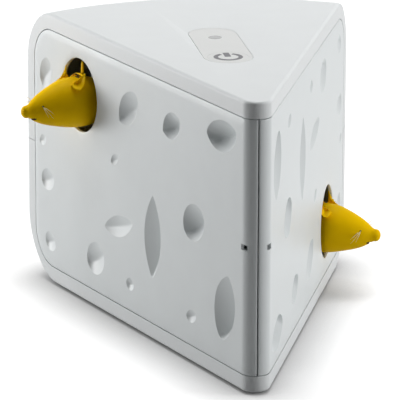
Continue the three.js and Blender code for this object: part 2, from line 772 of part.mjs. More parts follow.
// Left swing train; the right one is the same, turned over
const tipwards = Math.atan2(-cosHalf, sinHalf);   // plan direction along the face to the tip
const idlerAngle = tipwards + idlerBearing;
const idlerDistance = pitchRadius(sectorTeeth) + pitchRadius(idlerSmallTeeth) + meshGap;
const idler = new THREE.Vector2(Math.cos(idlerAngle), Math.sin(idlerAngle))
  .multiplyScalar(idlerDistance).add(pivot);
const motorAngle = -Math.PI / 2 + motorBearing;
const motorDistance = pitchRadius(idlerLargeTeeth) + pitchRadius(pinionTeeth) + meshGap;
const motorPlan = new THREE.Vector2(Math.cos(motorAngle), Math.sin(motorAngle))
  .multiplyScalar(motorDistance).add(idler);
const lowerGearLow = chassisTop + hubLift + seatGap;
const lowerGearHigh = lowerGearLow + sectorWall;
const upperGearLow = lowerGearHigh + gearStep;
const upperGearHigh = upperGearLow + upperGearWall;
const sectorHubTop = lowerGearLow + sectorHubHeight;

function sectorGear() {
  const points = toothPoints(sectorTeeth, idlerAngle, -sectorTeethOutwards, sectorTeethInwards);
  const fan = slab(new THREE.Shape([new THREE.Vector2(0, 0), ...points]), lowerGearLow, lowerGearHigh);
  const hub = rod(0, 0, hubRadius, lowerGearLow, sectorHubTop);
  const dog = rod(0, 0, hubRadius, sectorHubTop - joinOverlap, sectorHubTop + dogHeight).intersect(
    block(seatGap / 2, 2 * hubRadius, -2 * hubRadius, 2 * hubRadius, 0, bodyHeight),
  );
  const bore = rod(0, 0, shaftRadius + runningGap, 0, bodyHeight);
  return joined([fan, hub, dog]).subtract(bore).translate([pivot.x, pivot.y, 0]);
}

function idlerGear() {
  const smallPhase = idlerAngle + Math.PI + Math.PI / idlerSmallTeeth;
  const small = gear(idler, idlerSmallTeeth, smallPhase, lowerGearLow, upperGearLow + joinOverlap);
  const large = gear(idler, idlerLargeTeeth, motorAngle, upperGearLow, upperGearHigh);
  const bore = rod(idler.x, idler.y, axleRadius + runningGap, 0, bodyHeight, smallSegments);
  return small.add(large).subtract(bore);
}

function motorPinion() {
  const phase = motorAngle + Math.PI + Math.PI / pinionTeeth;
  const teeth = gear(motorPlan, pinionTeeth, phase, upperGearLow, upperGearHigh);
  const bore = rod(motorPlan.x, motorPlan.y, motorShaftRadius + runningGap, 0, bodyHeight, smallSegments);
  return teeth.subtract(bore);
}

const motorTop = chassisBottom - seatGap;
const motorLow = motorTop - motorHeight;

function motorCan() {
  const can = rod(0, 0, motorRadius, motorLow, motorTop, roundSegments + smallSegments).intersect(
    block(-motorFlat, motorFlat, -2 * motorRadius, 2 * motorRadius, 0, bodyHeight),
  );
  const nose = rod(0, 0, motorNoseRadius, motorTop - joinOverlap, motorTop + motorNoseHeight);
  const bore = rod(
    0, 0, motorShaftRadius + runningGap, motorTop - motorShaftDepth - seatGap, bodyHeight, smallSegments,
  );
  const threads = [-1, 1].map((side) => rod(
    0, side * motorScrewReach, motorScrewRadius + screwGap,
    motorTop - motorScrewDepth - seatGap, bodyHeight, smallSegments,
  ));
  return cut(can.add(nose), [bore, ...threads]).translate([motorPlan.x, motorPlan.y, 0]);
}

function motorShaft() {
  const low = motorTop - motorShaftDepth;
  return rod(motorPlan.x, motorPlan.y, motorShaftRadius, low, upperGearHigh, smallSegments);
}

function motorScrew(end) {
  const y = motorPlan.y + end * motorScrewReach;
  const headLow = chassisTop + seatGap;
  const headHigh = headLow + motorScrewHeadHeight;
  const low = motorTop - motorScrewDepth;
  const shank = rod(motorPlan.x, y, motorScrewRadius, low, headLow + joinOverlap, smallSegments);
  return shank.add(rod(motorPlan.x, y, motorScrewHeadRadius, headLow, headHigh, smallSegments));
}

function pivotShaft() {
  return rod(pivot.x, pivot.y, shaftRadius, chassisBottom, bodyHeight - shaftEnd);
}

function idlerAxle() {
  return rod(idler.x, idler.y, axleRadius, chassisBottom, upperGearHigh + seatGap, smallSegments);
}

function driveHoles() {
  return [
    rod(pivot.x, pivot.y, shaftRadius + runningGap, 0, bodyHeight),
    rod(idler.x, idler.y, axleRadius + runningGap, 0, bodyHeight, smallSegments),
    rod(motorPlan.x, motorPlan.y, motorNoseRadius + seatGap, 0, bodyHeight),
    ...[-1, 1].map((side) => rod(
      motorPlan.x, motorPlan.y + side * motorScrewReach, motorScrewRadius + screwGap,
      0, bodyHeight, smallSegments,
    )),
  ];
}

function driveChassis() {
  const plate = wedge(chassisSideInset).intersect(
    block(-faceLength, faceLength, chassisFront, 2 * faceLength, chassisBottom, chassisTop),
  );
  const holes = driveHoles();
  const screwHoles = bossPlans.filter(([, y]) => y > chassisFront).map(
    ([x, y]) => rod(x, y, shellScrewRadius + screwGap, 0, bodyHeight, smallSegments),
  );
  return cut(plate, [...holes, ...holes.map(turnedOver), ...screwHoles]);
}

// A rod through the middle line of a side's hole, along the face's normal
function alongNormal(frame, height, radius, low, high) {
  const geometry = new THREE.CylinderGeometry(radius, radius, high - low, smallSegments);
  geometry.rotateX(Math.PI / 2);
  geometry.translate(frame === leftFrame ? -holeAlong : holeAlong, height, (low + high) / 2);
  geometry.applyMatrix4(frame);
  return solid(geometry);
}

// The arm in the hole's own axes, x towards the tip, y up, z out of the face, up to the hole's height
function swingArm() {
  const plateOut = mouseBack - seatGap - armPlateWall;
  const plate = new THREE.BoxGeometry(2 * armPlateHalfWidth, 2 * armPlateHalfHeight, armPlateWall);
  const webLow = chassisTop + armWebLow - holeHeight;
  const webEnd = holeAlong - pivotAlong;
  const webInner = -hubRadius / 2;
  const web = new THREE.Shape([
    new THREE.Vector2(webEnd + webInner, -pivotInset - armWebWall / 2),
    new THREE.Vector2(webEnd + webInner, -pivotInset + armWebWall / 2),
    new THREE.Vector2(-armPlateHalfWidth, plateOut + armPlateWall),
    new THREE.Vector2(joinOverlap - armPlateHalfWidth, plateOut + armPlateWall),
    new THREE.Vector2(joinOverlap - armPlateHalfWidth, plateOut),
  ].map((point) => new THREE.Vector2(point.x, -point.y)));
  const webGeometry = new THREE.ExtrudeGeometry(web, { depth: -webLow, bevelEnabled: false });
  webGeometry.rotateX(-Math.PI / 2);
  webGeometry.translate(0, webLow, 0);
  const hub = rod(pivot.x, pivot.y, hubRadius, sectorHubTop + seatGap, holeHeight);
  const bore = rod(pivot.x, pivot.y, shaftRadius + runningGap, 0, bodyHeight);
  const dogRoom = block(
    pivot.x - seatGap / 2, pivot.x + 2 * hubRadius, pivot.y - 2 * hubRadius, pivot.y + 2 * hubRadius,
    0, sectorHubTop + dogHeight + seatGap,
  );
  const body = joined([
    hub,
    inLeftFace(plate, holeAlong, holeHeight, plateOut + armPlateWall / 2),
    inLeftFace(webGeometry, holeAlong, holeHeight, 0),
  ]);
  const holes = [-1, 1].map((side) => alongNormal(
    leftFrame, holeHeight + side * mouseScrewOffset, mouseScrewRadius + screwGap,
    plateOut - cutOverrun, mouseBack + cutOverrun,
  ));
  return cut(body, [bore, dogRoom, ...holes]);
}

// Value of a share table at a place, straight between its rows
function between(table, place) {
  const next = Math.max(1, table.findIndex(([at]) => at >= place));
  const [low, high] = [table[next - 1], table[next]];
  return THREE.MathUtils.mapLinear(place, low[0], high[0], low[1], high[1]);
}

function mouseBodyGeometry() {
  const length = mouseNoseTip - mouseBack;
  const points = mouseProfileShares.map(
    ([along, half]) => new THREE.Vector2(half * mouseBodyRadius, mouseBack + along * length),
  );
  const geometry = new THREE.LatheGeometry(points, roundSegments);
  geometry.rotateX(Math.PI / 2);
  geometry.scale(mouseWidthShare, 1, 1);
  const position = geometry.attributes.position;
  for (let i = 0; i < position.count; i++) {
    const place = THREE.MathUtils.clamp((position.getZ(i) - mouseBack) / length, 0, 1);
    position.setY(i, position.getY(i) - mouseDrop * between(mouseDropShares, place));
  }
  return geometry;
}

function ear(side) {
  const points = earProfileShares.map(([up, half]) => new THREE.Vector2(half * earHalfWidth, up * earHeight));
  const leaf = new THREE.LatheGeometry(points, smallSegments);
  leaf.scale(1, 1, earThicknessShare);
  const hollow = leaf.clone().scale(...earHollowShares).translate(0, earHollowRiseShare * earHeight, earCup);
  const body = solid(leaf).subtract(solid(hollow));
  const lean = -side * THREE.MathUtils.radToDeg(earLean);
  return body.rotate([0, 0, lean]).translate([side * earSpread, earFoot, earOut]);
}

function whisker(side, row, radius) {
  const root = new THREE.Vector3(0, -whiskerDropShare * mouseDrop, whiskerOut);
  const end = new THREE.Vector3(side * whiskerSpan, root.y + row * whiskerFan, whiskerOut - whiskerSweep);
  const span = end.clone().sub(root);
  const geometry = new THREE.CylinderGeometry(radius, radius, span.length(), filletSegments);
  geometry.applyQuaternion(new THREE.Quaternion().setFromUnitVectors(
    new THREE.Vector3(0, 1, 0), span.clone().normalize(),
  ));
  const middle = root.add(end).multiplyScalar(0.5);
  geometry.translate(middle.x, middle.y, middle.z);
  return solid(geometry);
}

const whiskerRows = [-1, 0, 1].flatMap((row) => [[-1, row], [1, row]]);

function holeHeightOf(frame) {
  return frame === leftFrame ? holeHeight : bodyHeight - holeHeight;
}

function placedMouse(body, frame) {
  const mirrored = frame === leftFrame ? -1 : 1;
  const moved = new THREE.Matrix4().makeTranslation(mirrored * holeAlong, holeHeightOf(frame), 0);
  const matrix = frame.clone().multiply(moved);
  return body.transform(matrix.elements);
}

function mouseBody(frame) {
  const body = joined([solid(mouseBodyGeometry()), ear(-1), ear(1)]);
  const roots = whiskerRows.map(([side, row]) => whisker(side, row, whiskerRadius + seatGap));
  const placed = placedMouse(cut(body, roots), frame);
  const holes = [-1, 1].map((side) => alongNormal(
    frame, holeHeightOf(frame) + side * mouseScrewOffset, mouseScrewRadius + screwGap,
    mouseBack - cutOverrun, mouseBack - armPlateWall + mouseScrewLength,
  ));
  return cut(placed, holes);
}

function whiskers(frame) {
  return placedMouse(joined(whiskerRows.map(([side, row]) => whisker(side, row, whiskerRadius))), frame);
}

function mouseScrew(frame, end) {
  const seat = mouseBack - 2 * seatGap - armPlateWall;
  const height = holeHeightOf(frame) + end * mouseScrewOffset;
  const shank = alongNormal(frame, height, mouseScrewRadius, seat - joinOverlap, seat + mouseScrewLength);
  return shank.add(alongNormal(frame, height, mouseScrewHeadRadius, seat - mouseScrewHeadHeight, seat));
}

// A flat twin lead along a smooth route
function twinLead(points) {
  const path = new THREE.CatmullRomCurve3(points.map(([x, y, z]) => new THREE.Vector3(x, y, z)));
  return solid(new THREE.ExtrudeGeometry(stadium(leadRadius, 2 * leadRadius + leadPitch, 0), {
    steps: leadSteps * points.length, curveSegments: leadSegments, extrudePath: path,
  }));
}

function batteryLeads() {
  const wallFace = bayFront - bayWall - seatGap - leadRadius;
  const x = -boardHalfWidth / 2;
  return twinLead([
    [x, wallFace, bayRoof - bayWall],
    [x, wallFace, bayRoof + bayWall],
    [x, wallFace, midHeight],
    [x, wallFace, boardBottom - bayWall],
    [x, wallFace, boardBottom - seatGap],
  ]);
}

function motorLeads(side) {
  const x = side * boardHalfWidth / 2;
  const y = chassisFront - leadClearance;
  const motorX = side * -motorPlan.x;
  const besideBoss = side * (middleBossX - bossRadius - leadClearance);
  const startZ = side < 0 ? motorLow - seatGap : bodyHeight - motorLow + seatGap;
  const routeZ = side < 0 ? startZ - leadClearance : startZ + leadClearance;
  return twinLead([
    [motorX, motorPlan.y, startZ],
    [motorX, motorPlan.y, (startZ + routeZ) / 2],
    [(motorX + besideBoss) / 2, (motorPlan.y + middleBossY) / 2, routeZ],
    [besideBoss, middleBossY, routeZ],
    [x, y, side < 0 ? midHeight : routeZ],
    [x, y, boardBottom - leadClearance],
    [x, y, boardBottom - seatGap],
  ]);
}

// Assembly
const toy = new THREE.Group();
const housing = new THREE.Group();
housing.add(
  named('upper_shell', upperShell(), colours.shell),
  named('lower_shell', lowerShell(), colours.shell),
  named('left_panel', sidePanel(), colours.panel),
  named('right_panel', turnedOver(sidePanel()), colours.panel),
  named('drive_chassis', driveChassis(), colours.chassis),
  ...bossPlans.map((plan, i) => named(`shell_screw_${i + 1}`, shellScrew(plan), colours.steel)),
  named('battery_door', batteryDoor(), colours.shell),
  named('door_screw', doorScrew(), colours.steel),
);
for (const [name, plan] of Object.entries(footPlans)) {
  housing.add(named(name, foot(plan), colours.rubber));
}

const controls = new THREE.Group();
controls.add(
  named('control_label', controlLabel(), colours.label),
  named('power_button', powerButton(), colours.label),
  named('switch_plunger', switchPlunger(), colours.switchBlack),
  named('tact_switch', tactSwitch(), colours.switchBlack),
  named('indicator_lens', indicatorLens(), colours.symbolGrey),
  named('indicator_led', indicatorLed(), colours.led),
  named('main_board', mainBoard(), colours.board),
  named('front_board_screw', boardScrew(boardPostFrontY), colours.steel),
  named('rear_board_screw', boardScrew(boardPostRearY), colours.steel),
);

const power = new THREE.Group();
power.add(
  named('battery_cell_left', cell(-cellPitch), colours.cell),
  named('battery_cell_middle', turnedAround(cell(0)), colours.cell),
  named('battery_cell_right', cell(cellPitch), colours.cell),
  named('front_contacts', contactPlate([-cellPitch, cellPitch], [0]), colours.steel),
  named('rear_contacts', turnedAround(contactPlate([0], [-cellPitch, cellPitch])), colours.steel),
  named('battery_leads', batteryLeads(), colours.leadRed),
  named('left_motor_leads', motorLeads(-1), colours.leadRed),
  named('right_motor_leads', motorLeads(1), colours.leadRed),
);

// A body turned about the vertical line through a left plan position, or its counterpart on the right
function turnedAbout(body, side, plan, angle) {
  const x = -side * plan.x;
  const turned = body.translate([-x, -plan.y, 0]).rotate([0, 0, THREE.MathUtils.radToDeg(angle)]);
  return turned.translate([x, plan.y, 0]);
}

// Everything that belongs to one mouse, its moving pieces set to that side's angle at rest
function swing(sideName, side) {
  const frame = side < 0 ? leftFrame : rightFrame;
  const flip = side < 0 ? (body) => body : turnedOver;
  const restAngle = side < 0 ? 0 : -rightSwingAtRest;
  const idlerAtRest = -restAngle * sectorTeeth / idlerSmallTeeth;
  const pinionAtRest = -idlerAtRest * idlerLargeTeeth / pinionTeeth;
  const turned = (body) => turnedAbout(body, side, pivot, restAngle);
  const idlerTurned = (body) => turnedAbout(body, side, idler, idlerAtRest);
  const pinionTurned = (body) => turnedAbout(body, side, motorPlan, pinionAtRest);
  const group = new THREE.Group();
  group.add(
    named(`${sideName}_mouse`, turned(mouseBody(frame)), colours.mouse),
    named(`${sideName}_whiskers`, turned(whiskers(frame)), colours.bristle),
    named(`${sideName}_mouse_screw_lower`, turned(mouseScrew(frame, -1)), colours.steel),
    named(`${sideName}_mouse_screw_upper`, turned(mouseScrew(frame, 1)), colours.steel),
    named(`${sideName}_swing_arm`, turned(flip(swingArm())), colours.gear),
    named(`${sideName}_sector_gear`, turned(flip(sectorGear())), colours.gear),
    named(`${sideName}_pivot_shaft`, flip(pivotShaft()), colours.steel),
    named(`${sideName}_idler_gear`, idlerTurned(flip(idlerGear())), colours.gear),
    named(`${sideName}_idler_axle`, flip(idlerAxle()), colours.steel),
    named(`${sideName}_motor_pinion`, pinionTurned(flip(motorPinion())), colours.gear),
    named(`${sideName}_motor_shaft`, flip(motorShaft()), colours.steel),
    named(`${sideName}_motor`, flip(motorCan()), colours.steel),
    named(`${sideName}_motor_screw_front`, flip(motorScrew(-1)), colours.steel),
    named(`${sideName}_motor_screw_rear`, flip(motorScrew(1)), colours.steel),
  );
  return group;
}

toy.add(housing, controls, power, swing('left', -1), swing('right', 1));

// Origin: middle of the footprint of the whole toy, on the surface that it stands on
const bounds = new THREE.Box3().setFromObject(toy);
const middle = bounds.getCenter(new THREE.Vector3());
toy.position.set(-middle.x, -middle.y, -bounds.min.z);

export default toy;
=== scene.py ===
import math

import bmesh
import bpy
import numpy as np
from mathutils import Matrix, Vector
from mathutils.geometry import delaunay_2d_cdt
from mathutils.kdtree import KDTree


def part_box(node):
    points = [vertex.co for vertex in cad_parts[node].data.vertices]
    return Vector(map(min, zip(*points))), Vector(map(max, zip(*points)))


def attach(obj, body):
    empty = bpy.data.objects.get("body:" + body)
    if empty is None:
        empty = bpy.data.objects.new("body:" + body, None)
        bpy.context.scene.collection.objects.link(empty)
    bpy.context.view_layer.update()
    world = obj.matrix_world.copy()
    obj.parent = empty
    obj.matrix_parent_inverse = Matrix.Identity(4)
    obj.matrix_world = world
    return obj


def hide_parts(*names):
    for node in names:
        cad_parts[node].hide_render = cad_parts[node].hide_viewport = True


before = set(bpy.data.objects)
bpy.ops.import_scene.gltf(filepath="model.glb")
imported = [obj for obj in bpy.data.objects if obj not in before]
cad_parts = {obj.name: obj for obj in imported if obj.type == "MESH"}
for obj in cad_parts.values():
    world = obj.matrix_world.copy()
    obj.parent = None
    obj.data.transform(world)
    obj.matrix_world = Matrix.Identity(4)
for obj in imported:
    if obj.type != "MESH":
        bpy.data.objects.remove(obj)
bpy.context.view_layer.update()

# Housing
half_angle = math.radians(20.1)
sin_half, cos_half = math.sin(half_angle), math.cos(half_angle)
body_height = 148.9
mid_height = body_height / 2
face_length = 256.0
tip_radius = 7.75
tip_y = tip_radius / sin_half
tangent = tip_radius / math.tan(half_angle)
rind_radius = 170.0
rind_y = face_length * cos_half - math.sqrt(rind_radius ** 2 - (face_length * sin_half) ** 2)
rind_top = 30.0
rind_bottom = 35.0
edge_fillet = 1.8
corner_fillet = 3.0
split_half = 0.15

# Side panels. The hole: place along the face, height and radius. The slot: place, height, length and width
rim_height = 8.5
rim_width = 9.5
panel_corner = 20.0
seam_gap = 0.36
tip_gap = 0.68
panel_wall = 1.4
hole = (194.0, 112.0, 19.7)
slot_at = (19.5, mid_height, 4.5, 2.8)
half_slot = np.array([slot_at[2], slot_at[3]]) / 2
edge_round = 0.4
hole_round = 0.5
slot_round = 0.25
back_round = 0.3

# Place of the part's own frame in the row frame
lower_low, lower_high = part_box("lower_shell")
shift = np.array([
    (lower_low.x + lower_high.x) / 2 * 1000,
    lower_high.y * 1000 - rind_y - rind_radius,
    lower_low.z * 1000,
])


def to_row(points):
    return (np.asarray(points, float) + shift) / 1000


# Mesh helpers
def new_object(name, data):
    obj = bpy.data.objects.new(name, data)
    bpy.context.scene.collection.objects.link(obj)
    return obj


def make_object(name, points, faces, look=None):
    """A new object from points in the part's own frame."""
    mesh = bpy.data.meshes.new(name)
    mesh.from_pydata([tuple(p) for p in to_row(points)], [], [tuple(f) for f in faces])
    mesh.update()
    if look is not None:
        mesh.materials.append(look)
    return new_object(name, mesh)


def closed_outwards(obj, weld=1e-7):
    """Welds points that meet and turns all faces outwards."""
    bm = bmesh.new()
    bm.from_mesh(obj.data)
    bmesh.ops.remove_doubles(bm, verts=bm.verts, dist=weld)
    bmesh.ops.recalc_face_normals(bm, faces=bm.faces)
    bm.to_mesh(obj.data)
    bm.free()
    return obj


def smooth_by_angle(obj, degrees, weighted=True):
    """Shades smooth up to an angle between faces, with larger faces weighing more where that is asked."""
    mesh = obj.data
    mesh.polygons.foreach_set("use_smooth", [True] * len(mesh.polygons))
    mesh.set_sharp_from_angle(angle=math.radians(degrees))
    if weighted:
        modifier = obj.modifiers.new("weighted", "WEIGHTED_NORMAL")
        modifier.keep_sharp = True


def settle(obj):
    """Applies the modifiers to the mesh."""
    graph = bpy.context.evaluated_depsgraph_get()
    mesh = bpy.data.meshes.new_from_object(obj.evaluated_get(graph))
    obj.modifiers.clear()
    obj.data = mesh


def combine(base, tool, kind):
    """Joins the base with the tool, or trims or cuts it by the tool, and removes the tool."""
    modifier = base.modifiers.new("combine", "BOOLEAN")
    modifier.object = tool
    modifier.operation = kind
    modifier.solver = "MANIFOLD"
    settle(base)
    bpy.data.objects.remove(tool)


def cad_copy(node, name):
    """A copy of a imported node, its points welded."""
    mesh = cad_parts[node].data.copy()
    mesh.name = name
    return closed_outwards(new_object(name, mesh), weld=1e-6)


def give_look(obj, look):
    """One material in place of all that the mesh had."""
    obj.data.materials.clear()
    obj.data.materials.append(look)


def loft(rows):
    """Points and faces of a tube through rows of equally many points, its two ends closed."""
    count = len(rows[0])
    points = np.concatenate(rows)
    faces = []
    for r in range(len(rows) - 1):
        for i in range(count):
            j = (i + 1) % count
            faces.append((r * count + i, r * count + j, (r + 1) * count + j, (r + 1) * count + i))
    faces.append(tuple(reversed(range(count))))
    faces.append(tuple((len(rows) - 1) * count + i for i in range(count)))
    return points, faces


def at_height(ring, z):
    """A flat ring or line of points, set at one height."""
    return np.column_stack([ring, np.full(len(ring), z)])


def full_turn(steps):
    return np.linspace(0, 2 * math.pi, steps, endpoint=False)


def arc(centre, radius, start, end, steps):
    angles = np.linspace(start, end, steps + 1)
    return np.stack([centre[0] + radius * np.cos(angles), centre[1] + radius * np.sin(angles)], 1)


# Materials. Scale and range of the clouds, and how far the roughness varies with them
cloud_scale = 60.0
cloud_low, cloud_high = 0.3, 0.7
roughness_spread = 0.08


def material(name, colour, roughness, variation=0.03, bump=0.02, bump_scale=900.0, metallic=0.0, coat=0.0,
             subsurface=0.0, specular=0.5):
    """Moulded or drawn material: faint colour and roughness clouds and a fine grain in its relief."""
    mat = bpy.data.materials.new(name)
    mat.use_nodes = True
    nodes, links = mat.node_tree.nodes, mat.node_tree.links
    shader = nodes["Principled BSDF"]
    shader.inputs["Metallic"].default_value = metallic
    shader.inputs["Coat Weight"].default_value = coat
    shader.inputs["Coat Roughness"].default_value = 0.12
    shader.inputs["Subsurface Weight"].default_value = subsurface
    shader.inputs["Subsurface Radius"].default_value = (0.004, 0.003, 0.002)
    shader.inputs["Subsurface Scale"].default_value = 0.5
    shader.inputs["Specular IOR Level"].default_value = specular
    place = nodes.new("ShaderNodeTexCoord")
    clouds = nodes.new("ShaderNodeTexNoise")
    clouds.inputs["Scale"].default_value = cloud_scale
    clouds.inputs["Detail"].default_value = 4.0
    links.new(place.outputs["Object"], clouds.inputs["Vector"])
    tint = nodes.new("ShaderNodeValToRGB")
    low = [c * (1 - variation) for c in colour]
    high = [min(1.0, c * (1 + variation)) for c in colour]
    for stop, position, shade in zip(tint.color_ramp.elements, (cloud_low, cloud_high), (low, high)):
        stop.position = position
        stop.color = (*shade, 1)
    links.new(clouds.outputs["Fac"], tint.inputs["Fac"])
    links.new(tint.outputs["Color"], shader.inputs["Base Color"])
    gloss = nodes.new("ShaderNodeMapRange")
    gloss.inputs["From Min"].default_value = cloud_low
    gloss.inputs["From Max"].default_value = cloud_high
    gloss.inputs["To Min"].default_value = roughness * (1 - roughness_spread)
    gloss.inputs["To Max"].default_value = min(1.0, roughness * (1 + roughness_spread))
    links.new(clouds.outputs["Fac"], gloss.inputs["Value"])
    links.new(gloss.outputs["Result"], shader.inputs["Roughness"])
    grain = nodes.new("ShaderNodeTexNoise")
    grain.inputs["Scale"].default_value = bump_scale
    grain.inputs["Detail"].default_value = 3.0
    links.new(place.outputs["Object"], grain.inputs["Vector"])
    relief = nodes.new("ShaderNodeBump")
    relief.inputs["Strength"].default_value = bump
    relief.inputs["Distance"].default_value = 0.0004
    links.new(grain.outputs["Fac"], relief.inputs["Height"])
    links.new(relief.outputs["Normal"], shader.inputs["Normal"])
    return mat


white = material("housing_white", (0.785, 0.81, 0.815), 0.40, 0.012, specular=0.25)
panel_white = material("panel_white", (0.765, 0.80, 0.805), 0.40, 0.012, specular=0.22)
label_grey = material("label_grey", (0.735, 0.745, 0.735), 0.42, 0.015, specular=0.3)
print_grey = material("print_grey", (0.13, 0.13, 0.14), 0.5, 0.05)
lens_grey = material("lens_grey", (0.36, 0.37, 0.37), 0.25, 0.02, coat=0.3)
yellow = material("mouse_yellow", (0.99, 0.60, 0.0005), 0.45, 0.025,
                  bump=0.05, subsurface=0.10, specular=0.03)
# Painted shade: a dark brown for the faces inside the mouse's mouth, crown slit and whisker holes, where
# shade falls
mouse_opening_shade = material("mouse_mark", (0.045, 0.016, 0.002), 0.6, 0.1, specular=0.1)
bristle = material("bristle", (0.88, 0.80, 0.50), 0.35, 0.05)
rubber = material("foot_rubber", (0.045, 0.045, 0.048), 0.75, 0.12, bump=0.2)
steel = material("steel", (0.55, 0.56, 0.58), 0.28, 0.04, metallic=1.0, bump=0.04, bump_scale=2500.0)
gear_white = material("gear_plastic", (0.66, 0.66, 0.63), 0.4, 0.02)
chassis_grey = material("chassis_plastic", (0.20, 0.21, 0.22), 0.5, 0.04, bump=0.06)
board_green = material("board_green", (0.02, 0.16, 0.06), 0.42, 0.12, coat=0.3)
cell_blue = material("cell_blue", (0.03, 0.09, 0.24), 0.32, 0.05, coat=0.4)
switch_black = material("switch_black", (0.02, 0.02, 0.021), 0.45, 0.08)
led_clear = material("led_clear", (0.75, 0.20, 0.16), 0.15, 0.03, coat=0.5)
lead_red = material("lead_red", (0.42, 0.02, 0.015), 0.45, 0.06)
slot_materials = {
    "housing_white": white, "panel_white": panel_white, "label_grey": label_grey, "lens_grey": lens_grey,
    "mouse_yellow": yellow, "bristle": bristle, "foot_rubber": rubber, "steel": steel,
    "gear_plastic": gear_white, "chassis_plastic": chassis_grey, "board_green": board_green,
    "cell_blue": cell_blue, "switch_black": switch_black, "led_clear": led_clear, "lead_red": lead_red,
}


# Outer form of the housing
tip_steps, side_steps, corner_steps, back_steps = 20, 24, 6, 48
rind_turn = np.linspace(0, math.pi / 2, 25)
edge_turn = np.linspace(0, math.pi / 2, 7)
skin_thick = 1.5
skin_angles = np.radians(np.linspace(52, 128, 77))
form_spare = 0.02


def outline(inset, rind):
    """Outline at one height: sides drawn in by an inset, rind arc of a given radius, corners rounded."""
    reach = inset + corner_fillet
    foot = np.array([-reach * cos_half, reach * sin_half])
    along = np.array([sin_half, cos_half])
    gap = foot - np.array([0.0, rind_y])
    b = gap @ along
    root = math.sqrt(b * b - gap @ gap + (rind - corner_fillet) ** 2)
    centre = foot + along * (root - b)
    lift = math.atan2(centre[1] - rind_y, centre[0])
    tip = arc((0, tip_y), tip_radius - inset, math.pi + half_angle, 2 * math.pi - half_angle, tip_steps)
    corner = arc(centre, corner_fillet, -half_angle, lift, corner_steps)
    side = tip[-1] + (corner[0] - tip[-1]) * np.linspace(0, 1, side_steps + 1)[1:-1, None]
    back = arc((0, rind_y), rind, lift, math.pi - lift, back_steps)[1:-1]
    mirrored = [points[::-1] * (-1, 1) for points in (corner, side)]
    return np.concatenate([tip, side, corner, back, *mirrored])


def rind_at(z):
    """Radius of the rind at a height, with its rounded top and bottom."""
    low, high = rind_bottom - z, z - (body_height - rind_top)
    if low > 0:
        return rind_radius - rind_bottom + math.sqrt(max(rind_bottom ** 2 - low ** 2, 0))
    if high > 0:
        return rind_radius - rind_top + math.sqrt(max(rind_top ** 2 - high ** 2, 0))
    return rind_radius


def edge_inset(z):
    """How far the rounded top and bottom edges draw the sides in at a height."""
    drop = edge_fillet - min(z, body_height - z)
    return edge_fillet - math.sqrt(max(edge_fillet ** 2 - drop ** 2, 0)) if drop > 0 else 0.0


def heights_with(*more):
    """The heights at which the rind's roundings are drawn, with more heights, in order."""
    return np.unique(np.round(np.concatenate([
        rind_bottom * (1 - np.cos(rind_turn)), body_height - rind_top * (1 - np.cos(rind_turn)), *more,
    ]), 4))


def outer_form(spare):
    """The whole outer form with its rounded edges, its flat faces drawn out by a spare."""
    edge_heights = edge_fillet * (1 - np.cos(edge_turn))
    rows = []
    for z in heights_with(edge_heights, body_height - edge_heights, [mid_height]):
        place = -spare if z == 0 else spare if z == body_height else 0
        rows.append(at_height(outline(edge_inset(z) - spare, rind_at(z) + spare), z + place))
    return loft(rows)


def rind_skin(low, high):
    """A thin smooth skin over the rind between two heights."""
    heights = [z for z in heights_with([low, high]) if low <= z <= high]
    outer = [(rind_at(z), z) for z in heights]
    inner = [(rind_at(z) - skin_thick, min(max(z, skin_thick), body_height - skin_thick))
             for z in reversed(heights)]
    return loft([
        np.array([(r * math.cos(angle), rind_y + r * math.sin(angle), z) for r, z in outer + inner])
        for angle in skin_angles
    ])


# Side faces
def face_points(along, height, out):
    """Points of the left side face: distance along it from the sharp tip, height and distance out of it."""
    along, height, out = (np.asarray(a, float) for a in (along, height, out))
    turn = np.maximum(tangent - along, 0) / tip_radius
    flat_along = np.maximum(along, tangent)
    x = np.where(along >= tangent, -flat_along * sin_half - out * cos_half,
                 -(tip_radius + out) * np.cos(half_angle + turn))
    y = np.where(along >= tangent, flat_along * cos_half - out * sin_half,
                 tip_y - (tip_radius + out) * np.sin(half_angle + turn))
    return np.stack([x, y, height + 0 * x], 1)


def turned_over(points):
    """The other side's copy: half a turn about the horizontal line through mid-height."""
    return np.asarray(points) * (-1, 1, -1) + (0, 0, body_height)


# Outline of the side panels on their face. The seam between them lies in the middle of the rounded tip
seam_start = tangent - tip_radius * (math.pi / 2 - half_angle)
window_spare = 0.02
window_past_tip = 0.6
window_out, window_in = 4.0, -3.5


def panel_limits(inset):
    """Lower, upper and far limits of a panel drawn in by an inset, and its corner radius."""
    low, high, end = rim_height + inset, body_height - rim_height - inset, face_length - rim_width - inset
    return low, high, end, panel_corner - inset


def panel_loop(inset, start):
    """A panel's outline drawn in by an inset, from a start at the sharp tip."""
    bend_step, straight_points, turn_steps, end_points, start_points = 0.6, 56, 20, 31, 40
    low, high, end, radius = panel_limits(inset)
    bend = np.arange(start, tangent, bend_step)
    lower = np.concatenate([bend, np.linspace(tangent, end - radius, straight_points)])
    lower = at_height(lower, low)
    upper = lower[::-1] * (1, -1) + (0, low + high)
    corner_low = arc((end - radius, low + radius), radius, -math.pi / 2, 0, turn_steps)[1:]
    side = np.column_stack([np.full(end_points, end),
                            np.linspace(low + radius, high - radius, end_points + 1)[1:]])
    corner_high = arc((end - radius, high - radius), radius, 0, math.pi / 2, turn_steps)[1:-1]
    near = np.column_stack([np.full(start_points, start), np.linspace(high, low, start_points + 2)[1:-1]])
    return np.concatenate([lower, corner_low, side, corner_high, upper, near])


def window_tool(turned):
    """A tool for the window in which a panel lies."""
    loop = panel_loop(-window_spare, seam_start - window_past_tip)
    rows = [face_points(loop[:, 0], loop[:, 1], np.full(len(loop), out)) for out in (window_out, window_in)]
    points, faces = loft(rows)
    return turned_over(points) if turned else points, faces


